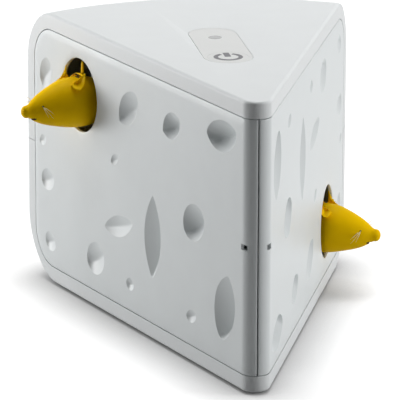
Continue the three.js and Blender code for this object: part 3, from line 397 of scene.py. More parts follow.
# Dimples: place along the face, height, half length and half widths to either side of it, tilt in degrees,
# sharpness of its two ends, direction towards its steep side, slope of its long side, place of its crease
dimples = [
    (42, 127.2, 15.0, 6.8, 9.4, -10, 0.55, 0.66, (-0.60, -0.80), 0.80, 0.57),
    (93.5, 119, 9.8, 6.6, 7.2, -27, 0.6, 0.8, (-0.35, -0.94), 0.72, 0.58),
    (139.5, 117, 12.6, 8.0, 8.0, -42, 0.55, 0.75, (-0.50, -0.87), 0.53, 0.55),
    (70, 74, 11.4, 9.6, 9.2, -30, 0.5, 0.55, (-0.60, -0.80), 0.60, 0.60),
    (113.3, 55.2, 22.6, 8.8, 8.8, 91, 0.95, 0.95, (-1.00, -0.30), 0.42, 0.68),
    (150.5, 52, 16.2, 5.0, 6.4, -16, 0.8, 0.85, (-0.35, -0.94), 0.46, 0.51),
    (38, 38.5, 17.5, 10.2, 10.2, 101, 0.55, 0.8, (-0.80, -0.60), 0.44, 0.72),
    (72.3, 24.3, 5.1, 3.3, 3.4, -15, 0.6, 0.6, (-0.50, -0.87), 0.48, 0.50),
    (138, 23.2, 4.2, 3.4, 3.4, 0, 0.6, 0.6, (-0.50, -0.87), 0.42, 0.50),
    (176.5, 27, 10.0, 8.6, 8.8, -25, 0.5, 0.55, (-0.50, -0.87), 0.31, 0.52),
    (154.6, 86.5, 4.7, 2.6, 2.8, -32, 0.6, 0.7, (-0.20, -1.00), 0.52, 0.52),
    (233, 115.5, 8.6, 6.5, 6.5, 110, 0.5, 0.5, (-0.50, -0.87), 0.30, 0.50),
    (237, 77.5, 3.9, 2.9, 3.0, -25, 0.6, 0.6, (-0.50, -0.87), 0.33, 0.49),
    (231.5, 56.7, 7.4, 6.0, 6.0, -8, 0.6, 0.5, (-0.50, -0.87), 0.31, 0.50),
    (228.8, 22.6, 6.2, 5.0, 5.2, 20, 0.5, 0.5, (-0.50, -0.87), 0.28, 0.49),
]
blend_share = 0.09
longest_reach = 60


def dimple_outline(dimple, steps=44):
    along, height, reach, upper, lower, tilt, start_sharp, end_sharp = dimple[:8]
    turn = full_turn(steps)
    place = np.cos(turn)
    sharp = start_sharp + (end_sharp - start_sharp) * (place + 1) / 2
    width = np.maximum(1 - place ** 2, 0) ** sharp
    across = np.where(np.sin(turn) >= 0, upper * width, -lower * width)
    tilt = math.radians(tilt)
    ahead = place * reach
    return np.stack([along + ahead * math.cos(tilt) - across * math.sin(tilt),
                     height + ahead * math.sin(tilt) + across * math.cos(tilt)], 1)


def inside(points, loop):
    """Which points lie inside a loop."""
    x, y = points[:, 0:1], points[:, 1:2]
    x1, y1 = loop[:, 0], loop[:, 1]
    x2, y2 = np.roll(x1, -1), np.roll(y1, -1)
    crosses = (y1 > y) != (y2 > y)
    with np.errstate(divide="ignore", invalid="ignore"):
        at = x1 + (y - y1) * (x2 - x1) / (y2 - y1)
    return (np.sum(crosses & (x < at), axis=1) % 2) == 1


def reach_to(points, loop, direction):
    """Distance from each point to the loop in a direction."""
    d = np.array(direction) / np.linalg.norm(direction)
    a, b = loop, np.roll(loop, -1, axis=0)
    edge = b - a
    parallel, behind, past_end, far_away = 1e-12, 1e-9, 1e-6, 1e9
    start = a[None] - points[:, None]
    cross = d[0] * edge[:, 1] - d[1] * edge[:, 0]
    cross = np.where(np.abs(cross) < parallel, parallel, cross)
    t = (start[..., 0] * edge[:, 1] - start[..., 1] * edge[:, 0]) / cross
    u = (start[..., 0] * d[1] - start[..., 1] * d[0]) / cross
    good = (t > -behind) & (u >= -past_end) & (u <= 1 + past_end)
    return np.min(np.where(good, t, far_away), axis=1)


def dimple_depth(points, dimple):
    """A long slope down to a crease near the steep side, and a short one back up."""
    _, _, reach, upper, lower, _, _, _, direction, slope, crease_share = dimple
    depth = np.zeros(len(points))
    loop = dimple_outline(dimple, steps=120)
    chosen = inside(points, loop)
    if not chosen.any():
        return depth
    ahead = np.array(direction)
    to_back, to_front = (np.minimum(reach_to(points[chosen], loop, way), longest_reach)
                         for way in (-ahead, ahead))
    gentle = slope * to_back
    steep = slope * crease_share / (1 - crease_share) * to_front
    blend = blend_share * slope * min(2 * reach, upper + lower)
    mix = np.clip(0.5 + 0.5 * (steep - gentle) / blend, 0, 1)
    depth[chosen] = np.maximum(steep * (1 - mix) + gentle * mix - blend * mix * (1 - mix), 0)
    return depth


# Side panel. Spacing of its points and their least distance from its rings: on the flat, in the dimples
# and on the bend round the tip
flat_step, flat_gap = 4.0, 1.8
dimple_step, dimple_gap = 1.05, 0.55
bend_step, bend_rise, bend_gap = 0.65, 3.2, 0.6
even_rows = 0.866
# Margins of those points: to the long edges, to both ends of the flat and along the bend
long_margin, end_margin = 2, 1.5
bend_past_seam, bend_past_tangent, bend_lift = 1.2, 0.9, 0.5
# Insets of the rings that carry the rounded edges
edge_insets = (0, 0.08, 0.2, edge_round)
hole_insets = (0, 0.1, 0.25, hole_round)
hole_steps = 96
hole_slack = 0.02


def slot_ring(grow):
    """Four points along each side of the slot, grown by a distance."""
    corners = np.array([(-1, -1), (1, -1), (1, 1), (-1, 1)]) * (half_slot + grow)
    ring = [a + (b - a) * t
            for a, b in zip(corners, np.roll(corners, -1, axis=0)) for t in (0, 0.25, 0.5, 0.75)]
    return np.array(ring) + slot_at[:2]


def panel_rings(start):
    """The loops that the panel's triangles have to follow: outline, hole, slot and dimples."""
    return [
        *(panel_loop(seam_gap + inset, start + inset) for inset in edge_insets),
        *(arc(hole[:2], hole[2] + inset, 0, 2 * math.pi, hole_steps)[:-1] for inset in hole_insets),
        *(slot_ring(grow) for grow in (0, slot_round)),
        *(dimple_outline(dimple) for dimple in dimples),
    ]


def clear_of(rings, candidates, gap):
    """The candidates that are further than a gap from all ring points."""
    at_once = 400
    kept = []
    for i in range(0, len(candidates), at_once):
        part = candidates[i:i + at_once]
        near = np.min(np.linalg.norm(part[:, None] - rings[None], axis=2), axis=1)
        kept.append(part[near > gap])
    return np.concatenate(kept)


def triangle_grid(step, low, high):
    """Points of even triangles between two corners."""
    xs = np.arange(low[0], high[0], step)
    zs = np.arange(low[1], high[1], step * even_rows)
    x, z = np.meshgrid(xs, zs)
    x = x + (np.arange(len(zs)) % 2)[:, None] * step / 2
    return np.stack([x.ravel(), z.ravel()], 1)


def panel_fill(ring_points, outer, rims, start):
    """Points between the rings: on the flat, in the dimples and on the bend round the tip."""
    low, high = rim_height + long_margin, body_height - rim_height - long_margin
    near, far = tangent + end_margin, face_length - rim_width - end_margin
    flat = triangle_grid(flat_step, (near, low), (far, high))
    in_dimple = np.any([inside(flat, rim) for rim in rims], axis=0)
    groups = [clear_of(ring_points, flat[~in_dimple & inside(flat, outer)], flat_gap)]
    for rim in rims:
        fine = triangle_grid(dimple_step, rim.min(0), rim.max(0))
        groups.append(clear_of(ring_points, fine[inside(fine, rim)], dimple_gap))
    along, height = np.meshgrid(np.arange(start + bend_past_seam, tangent + bend_past_tangent, bend_step),
                                np.arange(low + bend_lift, high, bend_rise))
    bend = np.stack([along.ravel(), height.ravel()], 1)
    groups.append(clear_of(ring_points, bend, bend_gap))
    return np.concatenate(groups)


def rounded(distance, radius):
    """How far a rounded edge has dropped at a distance inwards from it."""
    distance = np.clip(distance, 0, radius)
    return radius - np.sqrt(np.maximum(radius ** 2 - (radius - distance) ** 2, 0))


def panel_mesh():
    """The left panel: its front with dimples and rounded edges, its back and the walls between them."""
    start = seam_start + tip_gap / 2
    rings = panel_rings(start)
    outer, rims = rings[0], rings[-len(dimples):]
    edges, first = [], 0
    for ring in rings:
        edges.extend((first + i, first + (i + 1) % len(ring)) for i in range(len(ring)))
        first += len(ring)
    ring_points = np.concatenate(rings)
    every = np.concatenate([ring_points, panel_fill(ring_points, outer, rims, start)])
    found, _, triangles, *_ = delaunay_2d_cdt([Vector(p) for p in every], edges, [], 0, 1e-6)
    flat = np.array([(v.x, v.y) for v in found])
    triangles = np.array([tuple(t) for t in triangles if len(t) == 3])
    centre = flat[triangles].mean(1)
    from_hole = np.linalg.norm(centre - hole[:2], axis=1)
    in_slot = np.all(np.abs(centre - slot_at[:2]) < half_slot, axis=1)
    triangles = triangles[inside(centre, outer) & (from_hole > hole[2] - hole_slack) & ~in_slot]
    used = np.unique(triangles)
    remap = np.full(len(flat), -1)
    remap[used] = np.arange(len(used))
    flat, triangles = flat[used], remap[triangles]

    # Depth under the face
    depth = np.max([dimple_depth(flat, dimple) for dimple in dimples], axis=0)
    low, high, end, radius = panel_limits(seam_gap)
    past_end = flat[:, 0] - (end - radius)
    past_side = np.abs(flat[:, 1] - (low + high) / 2) - ((high - low) / 2 - radius)
    to_edge = np.where((past_end > 0) & (past_side > 0), radius - np.hypot(past_end, past_side),
                       radius - np.maximum(past_end, past_side))
    to_edge = np.minimum(to_edge, flat[:, 0] - start)
    to_hole = np.linalg.norm(flat - hole[:2], axis=1) - hole[2]
    to_slot = np.linalg.norm(np.maximum(np.abs(flat - slot_at[:2]) - half_slot, 0), axis=1)
    drop = rounded(to_edge, edge_round) + rounded(to_hole, hole_round) + rounded(to_slot, slot_round)
    front = face_points(flat[:, 0], flat[:, 1], -(depth + drop))
    back = face_points(flat[:, 0], flat[:, 1], -(panel_wall + depth + np.minimum(drop, back_round)))

    # Walls along the edges that belong to one triangle only
    count = len(flat)
    faces = [tuple(t) for t in triangles] + [tuple(t[::-1] + count) for t in triangles]
    sides = dict.fromkeys(pair for a, b, c in triangles for pair in ((a, b), (b, c), (c, a)))
    faces += [(b, a, a + count, b + count) for a, b in sides if (b, a) not in sides]
    return np.concatenate([front, back]), faces


def finish_piece(obj, body, slot, *nodes):
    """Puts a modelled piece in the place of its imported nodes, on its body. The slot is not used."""
    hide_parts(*nodes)
    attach(obj, body)


def sharpen_rims(obj, turned):
    """Marks the edges along the dimples' rims as sharp, so that each slope starts crisply."""
    rims = np.concatenate([face_points(loop[:, 0], loop[:, 1], np.zeros(len(loop)))
                           for loop in map(dimple_outline, dimples)])
    rims = to_row(turned_over(rims) if turned else rims)
    tree = KDTree(len(rims))
    for i, point in enumerate(rims):
        tree.insert(point, i)
    tree.balance()
    at_rim = 2e-6
    on_rim = [tree.find(v.co)[2] < at_rim for v in obj.data.vertices]
    sharp = obj.data.attributes["sharp_edge"]
    for edge in obj.data.edges:
        if on_rim[edge.vertices[0]] and on_rim[edge.vertices[1]]:
            sharp.data[edge.index].value = True


panel_points, panel_faces = panel_mesh()
for side, points in (("left", panel_points), ("right", turned_over(panel_points))):
    panel = closed_outwards(make_object(f"dressed_{side}_panel", points, panel_faces, panel_white))
    smooth_by_angle(panel, degrees=40, weighted=False)
    sharpen_rims(panel, side == "right")
    finish_piece(panel, "housing", "panel_white", f"{side}_panel")

# Shells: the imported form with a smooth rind, rounded edges and clean window corners
for name, low, high in (("upper_shell", mid_height + split_half, body_height),
                        ("lower_shell", 0.0, mid_height - split_half)):
    shell = cad_copy(name, f"dressed_{name}")
    skin = closed_outwards(make_object("skin", *rind_skin(low, high)))
    combine(shell, skin, "UNION")
    form = closed_outwards(make_object("form", *outer_form(form_spare)))
    combine(shell, form, "INTERSECT")
    for turned in (False, True):
        tool = closed_outwards(make_object("window", *window_tool(turned)))
        combine(shell, tool, "DIFFERENCE")
    give_look(shell, white)
    smooth_by_angle(shell, degrees=28)
    finish_piece(shell, "housing", "housing_white", name)

# Label, button and lens
label_half, label_length, label_y = 12.5, 75.0, 131.5
button_y, button_radius = 106.5, 10.5
lens_y, lens_radius = 148.5, 3.5
fine_gap = 0.06
bore_over = 2
plate_round = 0.12
plate_steps = 4


def stadium(half_width, length, centre_y):
    """Outline with two straight sides and round ends, on the middle line of the top."""
    steps = 32
    straight = length / 2 - half_width
    top = arc((0, centre_y + straight), half_width, 0, math.pi, steps)
    bottom = arc((0, centre_y - straight), half_width, math.pi, 2 * math.pi, steps)
    return np.concatenate([top, bottom])


def disc(radius, centre_y, steps=96):
    """Round outline on the middle line of the top."""
    return arc((0, centre_y), radius, 0, 2 * math.pi, steps)[:-1]


def raised_plate(loop_at, low, high):
    """A plate between two heights with a rounded upper edge, from its outline at an inset."""
    rows = [at_height(loop_at(0), low)]
    for a in np.linspace(0, math.pi / 2, plate_steps + 1):
        inset, drop = plate_round * (1 - math.cos(a)), plate_round * (1 - math.sin(a))
        rows.append(at_height(loop_at(inset), high - drop))
    return loft(rows)


def heights_of(node):
    """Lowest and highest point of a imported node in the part's own frame."""
    return tuple(corner.z * 1000 - shift[2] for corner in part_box(node))


label_low, label_high = heights_of("control_label")
label = closed_outwards(make_object("dressed_label", *raised_plate(
    lambda inset: stadium(label_half - inset, label_length - 2 * inset, label_y), label_low, label_high)))
bore_heights = (label_low - bore_over, label_high + bore_over)
for y, radius in ((button_y, button_radius), (lens_y, lens_radius)):
    rows = [at_height(disc(radius + fine_gap, y), z) for z in bore_heights]
    combine(label, closed_outwards(make_object("bore", *loft(rows))), "DIFFERENCE")
give_look(label, label_grey)
smooth_by_angle(label, degrees=30)
finish_piece(label, "housing", "label_grey", "control_label")


def add_part(obj, points, faces, material_index):
    """Adds a closed part to a piece, with one of its materials."""
    bm = bmesh.new()
    bm.from_mesh(obj.data)
    fresh = [bm.verts.new(p) for p in to_row(points)]
    made = [bm.faces.new([fresh[i] for i in f]) for f in faces]
    for face in made:
        face.material_index = material_index
    bmesh.ops.recalc_face_normals(bm, faces=made)
    bm.to_mesh(obj.data)
    bm.free()


# Generic power symbol: an open ring and a bar in its gap, printed on the button
symbol_outer, symbol_inner, symbol_gap, symbol_steps = 7.5, 5.2, math.radians(27), 72
half_bar, bar_start, bar_end = 1.6, 0.4, 8.6
ink = 0.05
button_low, button_high = heights_of("power_button")
button = closed_outwards(make_object("dressed_button", *raised_plate(
    lambda inset: disc(button_radius - inset, button_y), button_low, button_high), label_grey))
button.data.materials.append(print_grey)
rows = []
for angle in np.linspace(math.pi / 2 + symbol_gap, 5 * math.pi / 2 - symbol_gap, symbol_steps + 1):
    direction = np.array([math.cos(angle), math.sin(angle)])
    corners = ((symbol_inner, -ink), (symbol_outer, -ink), (symbol_outer, ink), (symbol_inner, ink))
    rows.append(np.array([
        (*(direction * radius + (0, button_y)), button_high + z) for radius, z in corners
    ]))
add_part(button, *loft(rows), material_index=1)
bar_loop = np.array([(-half_bar, button_y + bar_start), (half_bar, button_y + bar_start),
                     (half_bar, button_y + bar_end), (-half_bar, button_y + bar_end)])
bar_rows = [at_height(bar_loop, button_high + z) for z in (-ink, ink)]
add_part(button, *loft(bar_rows), material_index=1)
smooth_by_angle(button, degrees=30)
finish_piece(button, "button", "label_grey", "power_button")

# Indicator lens, slightly domed
lens_steps = 64
dome, dome_sink, lens_edge = 0.12, 0.06, 0.1
lens_insets = (0.12, 0.4, 0.9, 1.6, 2.4, 3.2)
lens_low = heights_of("indicator_lens")[0]
rows = [at_height(disc(lens_radius, lens_y, lens_steps), z) for z in (lens_low, label_high - lens_edge)]
for inset in lens_insets:
    rise = dome * (1 - (1 - inset / lens_radius) ** 2) - dome_sink
    rows.append(at_height(disc(lens_radius - inset, lens_y, lens_steps), label_high + rise))
lens = closed_outwards(make_object("dressed_lens", *loft(rows), lens_grey))
smooth_by_angle(lens, degrees=30)
finish_piece(lens, "housing", "lens_grey", "indicator_lens")


# Mouse in its own axes: towards the tip, up, and out of the face, from the centre of its hole. Its rows:
# distance out of the face, half height and height of the middle. Its back is flattened near the face
mouse_rows = [
    (-12.0, 0.0, -3.2), (-12.0, 8.2, -3.2), (-11.0, 10.3, -3.2), (-8.0, 12.2, -3.2), (-4.0, 13.3, -3.2),
    (0.0, 13.65, -3.2), (4.0, 13.55, -3.2), (8.0, 13.1, -3.2), (12.0, 12.2, -3.35), (16.0, 10.9, -3.75),
    (20.0, 9.45, -4.2), (24.0, 7.6, -4.65), (26.6, 6.0, -4.9), (28.6, 4.5, -5.1), (29.8, 3.7, -5.15),
    (30.8, 3.4, -5.2), (31.8, 3.35, -5.2), (32.6, 3.0, -5.2), (33.3, 2.35, -5.2), (33.8, 1.4, -5.2),
    (34.05, 0.0, -5.2),
]
mouse_narrow = 0.9
mouse_steps = 48
flat_until, flat_most, flat_share = 12, 0.9, 0.05

# Its ears: points of the rim, deepest point of the hollow, root in the head, rings inside the rim as a share
# of the way out from the hollow and how far each is sunk, and sizes of neck and waist
ear_rim = [
    (10.7, 14.7, 2.0), (11.7, 11.8, 2.5), (12.3, 9.2, 3.3), (12.6, 6.9, 4.9), (12.2, 6.0, 6.5),
    (11.0, 6.3, 7.8), (9.0, 7.1, 8.5), (7.2, 8.1, 8.6), (7.8, 9.8, 7.1), (8.9, 11.6, 4.7),
]
ear_hollow = (6.9, 9.5, 4.9)
ear_root = (6.5, 5.0, 4.0)
ear_inner_rings = ((0.92, -0.12), (0.76, 0.10), (0.56, 0.55), (0.36, 0.88), (0.12, 1.0))
ear_neck = 0.45
ear_waist, ear_flare = 0.55, 0.05

# Half width at the closed ends of a form
thinnest = 0.02

# The bar that joins the ears over the slit in the crown, and the narrow upright tab behind the crown
bar_path = [
    (-8.5, 7.9, 0.6), (-6.0, 9.6, 0.1), (-3.5, 10.8, -0.1), (-0.5, 11.3, -0.1), (3.0, 11.4, 0.0),
    (6.2, 11.3, 0.6), (9.4, 11.2, 1.8),
]
bar_halves = [(0.65, 0.5)] * len(bar_path)
tab_path = [(0.0, 7.0, -2.0), (0.0, 13.0, -2.0), (0.0, 16.0, -2.0), (0.2, 17.4, -2.0), (0.3, 18.2, -2.0)]
tab_halves = [(1.7, 0.8), (1.35, 0.7), (1.15, 0.6), (0.9, 0.5), (0.4, 0.3)]
bar_sides = 16
pebble_sides, pebble_rows = 20, 11


def spline(p0, p1, p2, p3, t):
    """A point between p1 and p2 on a smooth curve through all four."""
    return 0.5 * (2 * p1 + (p2 - p0) * t + (2 * p0 - 5 * p1 + 4 * p2 - p3) * t ** 2
                  + (3 * p1 - p0 - 3 * p2 + p3) * t ** 3)


def smooth_rows(rows, per=3):
    """Rows with more rows between them on a smooth curve."""
    table = np.array(rows)
    padded = np.concatenate([table[:1], table, table[-1:]])
    result = [spline(*padded[i - 1:i + 3], t)
              for i in range(1, len(padded) - 2) for t in np.linspace(0, 1, per, endpoint=False)]
    return np.array(result + [table[-1]])


def closed_curve(points, per=5):
    """A smooth closed curve through a loop of points."""
    table = np.array(points)
    return np.array([spline(*(table[(i + k) % len(table)] for k in (-1, 0, 1, 2)), t)
                     for i in range(len(table)) for t in np.linspace(0, 1, per, endpoint=False)])


def mouse_form():
    """Body, snout and crown as one closed loft, in mouse axes."""
    rows = []
    turn = full_turn(mouse_steps)
    for out, half, centre in smooth_rows(mouse_rows):
        half = max(half, thinnest)
        across, up = np.cos(turn) * half * mouse_narrow, np.sin(turn) * half
        flat = np.clip((flat_until - out) / flat_until, 0, 1) * flat_most
        up = np.where(up > 0, up * (1 - flat_share * flat * (1 - np.abs(np.cos(turn)))), up)
        rows.append(np.column_stack([across, centre + up, np.full(len(turn), out)]))
    return loft(rows)


def ear_form(side):
    """A flared ear with a hollow, open to the side and to the front, its root inside the head."""
    rim = closed_curve(ear_rim)
    hollow, root = np.array(ear_hollow), np.array(ear_root)
    outwards = rim - rim.mean(0)
    rows = [root + outwards * ear_neck, root + (rim - root) * ear_waist + outwards * ear_flare, rim]
    for share, sink in ear_inner_rings:
        ring = hollow + (rim - hollow) * share
        ring[:, 0] = rim[:, 0] + (hollow[0] - rim[:, 0]) * sink
        rows.append(ring)
    return loft([row * (side, 1, 1) for row in rows])


def swept(path, halves):
    """A rounded bar along a path, with its half sizes across and up at each point."""
    turn = full_turn(bar_sides)
    path = np.array(path, float)
    rows = []
    for i, (p, (a, b)) in enumerate(zip(path, halves)):
        ahead = path[min(i + 1, len(path) - 1)] - path[max(i - 1, 0)]
        ahead = ahead / np.linalg.norm(ahead)
        side = np.cross(ahead, (0, 0, 1))
        side = side / np.linalg.norm(side)
        up = np.cross(side, ahead)
        rows.append(p + np.outer(np.cos(turn), side) * a + np.outer(np.sin(turn), up) * b)
    return loft(rows)


def pebble(centre, size, turn):
    """A smooth tool for dents and slits."""
    rows = []
    ring = full_turn(pebble_sides)
    for a in np.linspace(-math.pi / 2, math.pi / 2, pebble_rows):
        r = max(math.cos(a), thinnest)
        rows.append(np.column_stack([np.cos(ring) * r * size[0], np.sin(ring) * r * size[1],
                                     np.full(len(ring), math.sin(a) * size[2])]))
    points, faces = loft(rows)
    c, s = math.cos(turn), math.sin(turn)
    y, z = points[:, 1].copy(), points[:, 2].copy()
    points[:, 1], points[:, 2] = y * c - z * s, y * s + z * c
    return points + np.array(centre), faces


def joined(parts):
    """Several closed parts as one list of points and one of faces."""
    points, faces, start = [], [], 0
    for part_points, part_faces in parts:
        points.append(part_points)
        faces.extend(tuple(i + start for i in f) for f in part_faces)
        start += len(part_points)
    return np.concatenate(points), faces


def local_object(name, parts):
    """One mesh of several closed parts given in mouse axes, left in those axes."""
    points, faces = joined(parts)
    mesh = bpy.data.meshes.new(name)
    mesh.from_pydata([tuple(p) for p in points], [], faces)
    obj = new_object(name, mesh)
    bm = bmesh.new()
    bm.from_mesh(mesh)
    bmesh.ops.recalc_face_normals(bm, faces=bm.faces)
    bm.to_mesh(mesh)
    bm.free()
    return obj


# Openings pressed into the mouse: centre, half sizes and turn. Faces within reach of one get painted shade,
# a dark colour standing in for the shade inside the opening
mouse_openings = [
    ((0.0, -9.2, 28.1), (3.9, 1.0, 2.3), 0.5),
    ((-0.8, 10.5, 1.2), (4.2, 0.8, 1.2), 0.0),
    ((5.9, -1.75, 24.4), (0.8, 0.35, 0.5), 0.0),
    ((-5.9, -1.75, 24.4), (0.8, 0.35, 0.5), 0.0),
]
painted_shade_reach = 1.12


def modelled_mouse():
    """Body, ears and crown run together into one soft skin, with its openings pressed in."""
    obj = local_object("mouse_form", [
        mouse_form(), ear_form(1), ear_form(-1), swept(bar_path, bar_halves), swept(tab_path, tab_halves),
    ])
    remesh = obj.modifiers.new("skin", "REMESH")
    remesh.mode = "VOXEL"
    remesh.voxel_size = 0.36
    remesh.adaptivity = 0.0
    settle(obj)
    soften = obj.modifiers.new("soften", "LAPLACIANSMOOTH")
    soften.iterations = 3
    soften.lambda_factor = 0.25
    soften.use_volume_preserve = True
    settle(obj)
    for opening in mouse_openings:
        combine(obj, local_object("dent", [pebble(*opening)]), "DIFFERENCE")
    return obj


def within_openings(points):
    """Which points lie in one of the mouse's openings."""
    found = np.zeros(len(points), bool)
    for centre, size, turn in mouse_openings:
        offset = points - np.array(centre)
        c, s = math.cos(turn), math.sin(turn)
        y, z = offset[:, 1] * c + offset[:, 2] * s, -offset[:, 1] * s + offset[:, 2] * c
        found |= (offset[:, 0] / size[0]) ** 2 + (y / size[1]) ** 2 + (z / size[2]) ** 2 < painted_shade_reach
    return found


right_rest = math.radians(5.3)
pivot_along, pivot_inset = 238.5, 8.0
pivot = np.array([pivot_along * sin_half - pivot_inset * cos_half,
                  pivot_along * cos_half + pivot_inset * sin_half])


def placed(points, side):
    """Mouse axes to the part's frame, at that side's rest pose."""
    points = np.asarray(points, float)
    height = hole[1] if side == "left" else body_height - hole[1]
    result = face_points(hole[0] - points[:, 0], height + points[:, 1], points[:, 2])
    if side == "left":
        return result
    result = result * (-1, 1, 1)
    flat = result[:, :2] - pivot
    c, s = math.cos(-right_rest), math.sin(-right_rest)
    result[:, :2] = np.stack([flat[:, 0] * c - flat[:, 1] * s, flat[:, 0] * s + flat[:, 1] * c], 1) + pivot
    return result


# Whiskers, each with a root and two more points that bend it. None runs along the direction set aside
whisker_thick = 0.18
whisker_taper = 0.75
whisker_steps = 12
whisker_sides = 8
whisker_aside = (0.3, 1, 0.2)


def whisker_form(root, middle, end):
    """A tapered bristle along a curve from its root."""
    turn = full_turn(whisker_sides)
    root, middle, end = (np.array(point, float) for point in (root, middle, end))
    path = []
    for t in np.linspace(0, 1, whisker_steps):
        a = root * (1 - t) + middle * t
        b = middle * (1 - t) + end * t
        path.append(a * (1 - t) + b * t)
    last = whisker_steps - 1
    rows = []
    for i, p in enumerate(path):
        ahead = path[min(i + 1, last)] - path[max(i - 1, 0)]
        ahead = ahead / np.linalg.norm(ahead)
        side = np.cross(ahead, whisker_aside)
        side /= np.linalg.norm(side)
        up = np.cross(side, ahead)
        radius = whisker_thick * (1 - whisker_taper * i / last)
        rows.append(p + radius * (np.outer(np.cos(turn), side) + np.outer(np.sin(turn), up)))
    return loft(rows)


whisker_forms = [
    whisker_form((5.2, -1.7, 24.5), (9.6, -3.8, 23.6), (9.4, -8.2, 20.0)),
    whisker_form((5.2, -2.0, 24.2), (10.2, -3.6, 22.0), (9.9, -6.0, 19.8)),
    whisker_form((5.2, -1.9, 24.4), (9.2, -4.4, 24.2), (9.0, -7.3, 22.6)),
    whisker_form((-5.0, -1.7, 24.7), (-6.6, 0.9, 27.6), (-8.0, 2.1, 28.9)),
    whisker_form((-5.0, -1.8, 24.7), (-6.8, -1.0, 28.6), (-8.2, -1.2, 30.8)),
    whisker_form((-5.0, -1.9, 24.5), (-8.0, -2.2, 26.2), (-9.6, -3.4, 27.4)),
]

mouse_model = modelled_mouse()
mouse_points = np.array([v.co[:] for v in mouse_model.data.vertices])
mouse_faces = [tuple(p.vertices) for p in mouse_model.data.polygons]
# Faces inside the openings take the painted shade
painted_shade_faces = within_openings(np.array([p.center[:] for p in mouse_model.data.polygons]))
bpy.data.objects.remove(mouse_model)
for side in ("left", "right"):
    mouse = make_object(f"dressed_{side}_mouse", placed(mouse_points, side), mouse_faces, yellow)
    mouse.data.materials.append(mouse_opening_shade)
    mouse.data.polygons.foreach_set("material_index", painted_shade_faces.astype(np.int32))
    closed_outwards(mouse)
    smooth_by_angle(mouse, degrees=60, weighted=False)
    finish_piece(mouse, f"{side}_swing", "mouse_yellow", f"{side}_mouse")
    strands = joined([(placed(points, side), faces) for points, faces in whisker_forms])
    whiskers = closed_outwards(make_object(f"dressed_{side}_whiskers", *strands, bristle))
    smooth_by_angle(whiskers, degrees=60, weighted=False)
    finish_piece(whiskers, f"{side}_swing", "bristle", f"{side}_whiskers")

# Camera at the photograph's viewing angle
camera_place = (-0.3099, -1.9030, 0.6240)
camera_look = Vector((0.15125, 0.94848, -0.27839))
camera_roll = math.radians(0.14)
camera_data = bpy.data.cameras.new("camera")
camera_data.lens = 346.5
camera_data.sensor_width = 36.0
camera_data.clip_end = 30.0
camera = new_object("camera", camera_data)
camera.location = camera_place
camera.rotation_mode = "QUATERNION"
aim = camera_look.to_track_quat("-Z", "Y").to_matrix().to_4x4()
camera.rotation_quaternion = (aim @ Matrix.Rotation(camera_roll, 4, "Z")).to_quaternion()
bpy.context.scene.camera = camera

# Floor and background. The floor's glow is dimmed near the object by ambient occlusion: a painted contact
# shadow
floor_half = 8
floor_grey = 0.52
floor_glow = 0.74
# Reach and power of the painted contact shadow in the floor's glow
painted_shadow_reach = 0.03
painted_shadow_power = 1.7
floor_mesh = bpy.data.meshes.new("floor")
floor_corners = [(x * floor_half, y * floor_half, 0) for x, y in ((-1, -1), (1, -1), (1, 1), (-1, 1))]
floor_mesh.from_pydata(floor_corners, [], [(0, 1, 2, 3)])
floor = new_object("floor", floor_mesh)


def worked_out(nodes, links, operation, first, second):
    """A value worked out from two others, each a number or another node's output."""
    node = nodes.new("ShaderNodeMath")
    node.operation = operation
    for socket, value in zip(node.inputs, (first, second)):
        if isinstance(value, float):
            socket.default_value = value
        else:
            links.new(value, socket)
    return node.outputs[0]


def seen_directly(nodes, links):
    """1 where a camera, glossy or transmitted ray looks, else 0."""
    rays = nodes.new("ShaderNodeLightPath").outputs
    looks = worked_out(nodes, links, "MAXIMUM", rays["Is Camera Ray"], rays["Is Glossy Ray"])
    return worked_out(nodes, links, "MAXIMUM", looks, rays["Is Transmission Ray"])


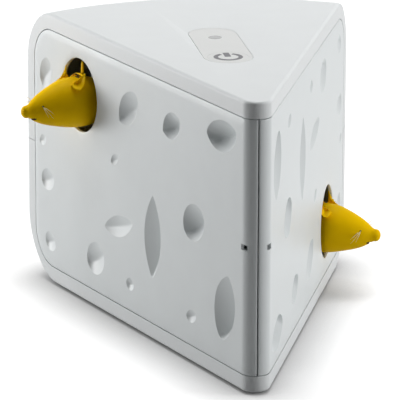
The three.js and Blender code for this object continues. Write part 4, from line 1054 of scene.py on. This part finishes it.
floor_material = bpy.data.materials.new("floor_pale")
floor_material.use_nodes = True
nodes, links = floor_material.node_tree.nodes, floor_material.node_tree.links
nodes.clear()
output = nodes.new("ShaderNodeOutputMaterial")
diffuse = nodes.new("ShaderNodeBsdfDiffuse")
diffuse.inputs["Color"].default_value = (floor_grey, floor_grey, floor_grey, 1)
glow = nodes.new("ShaderNodeEmission")
glow.inputs["Color"].default_value = (1, 1, 1, 1)
# Ambient occlusion darkens the floor's glow under and beside the object: painted contact shadow, added to
# the real shadow in its diffuse part
painted_shadow_ao = nodes.new("ShaderNodeAmbientOcclusion")
painted_shadow_ao.samples = 12
painted_shadow_ao.inputs["Distance"].default_value = painted_shadow_reach
open_share = worked_out(nodes, links, "POWER", painted_shadow_ao.outputs["AO"], painted_shadow_power)
glow_share = worked_out(nodes, links, "MULTIPLY", seen_directly(nodes, links), open_share)
links.new(worked_out(nodes, links, "MULTIPLY", glow_share, floor_glow), glow.inputs["Strength"])
total = nodes.new("ShaderNodeAddShader")
links.new(diffuse.outputs[0], total.inputs[0])
links.new(glow.outputs[0], total.inputs[1])
links.new(total.outputs[0], output.inputs["Surface"])
floor_mesh.materials.append(floor_material)

background_fill = 0.02
world = bpy.data.worlds.new("world")
bpy.context.scene.world = world
world.use_nodes = True
nodes, links = world.node_tree.nodes, world.node_tree.links
back = nodes["Background"]
back.inputs["Color"].default_value = (1, 1, 1, 1)
blend = nodes.new("ShaderNodeMapRange")
blend.inputs["To Min"].default_value = background_fill
blend.inputs["To Max"].default_value = 1.0
links.new(seen_directly(nodes, links), blend.inputs["Value"])
links.new(blend.outputs["Result"], back.inputs["Strength"])


def softbox(name, place, target, size, power):
    """A rectangular lamp at a place, facing a target, with its sizes in metres and its power in watts."""
    data = bpy.data.lights.new(name, "AREA")
    data.shape = "RECTANGLE"
    data.size, data.size_y = size
    data.energy = power
    lamp = new_object(name, data)
    lamp.location = place
    lamp.rotation_mode = "QUATERNION"
    lamp.rotation_quaternion = (Vector(target) - Vector(place)).to_track_quat("-Z", "Y")


softbox("top_light", (0.0, 0.42, 1.5), (0, 0, 0.1), (1.2, 1.0), 17.2)
softbox("right_light", (1.75, -0.42, 0.5), (0, 0, 0.07), (0.8, 0.9), 19.2)
softbox("left_light", (-1.28, 0.88, 0.30), (0, 0.05, 0.07), (1.3, 1.0), 8.6)
softbox("left_side", (-0.78, 0.46, 0.07), (-0.05, 0.03, 0.05), (0.4, 0.14), 3.1)

scene = bpy.context.scene
scene.view_settings.view_transform = "Standard"

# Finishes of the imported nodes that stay
for node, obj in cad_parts.items():
    for entry in obj.material_slots:
        base = entry.material.name.split(".")[0] if entry.material else ""
        if base in slot_materials:
            entry.material = slot_materials[base]
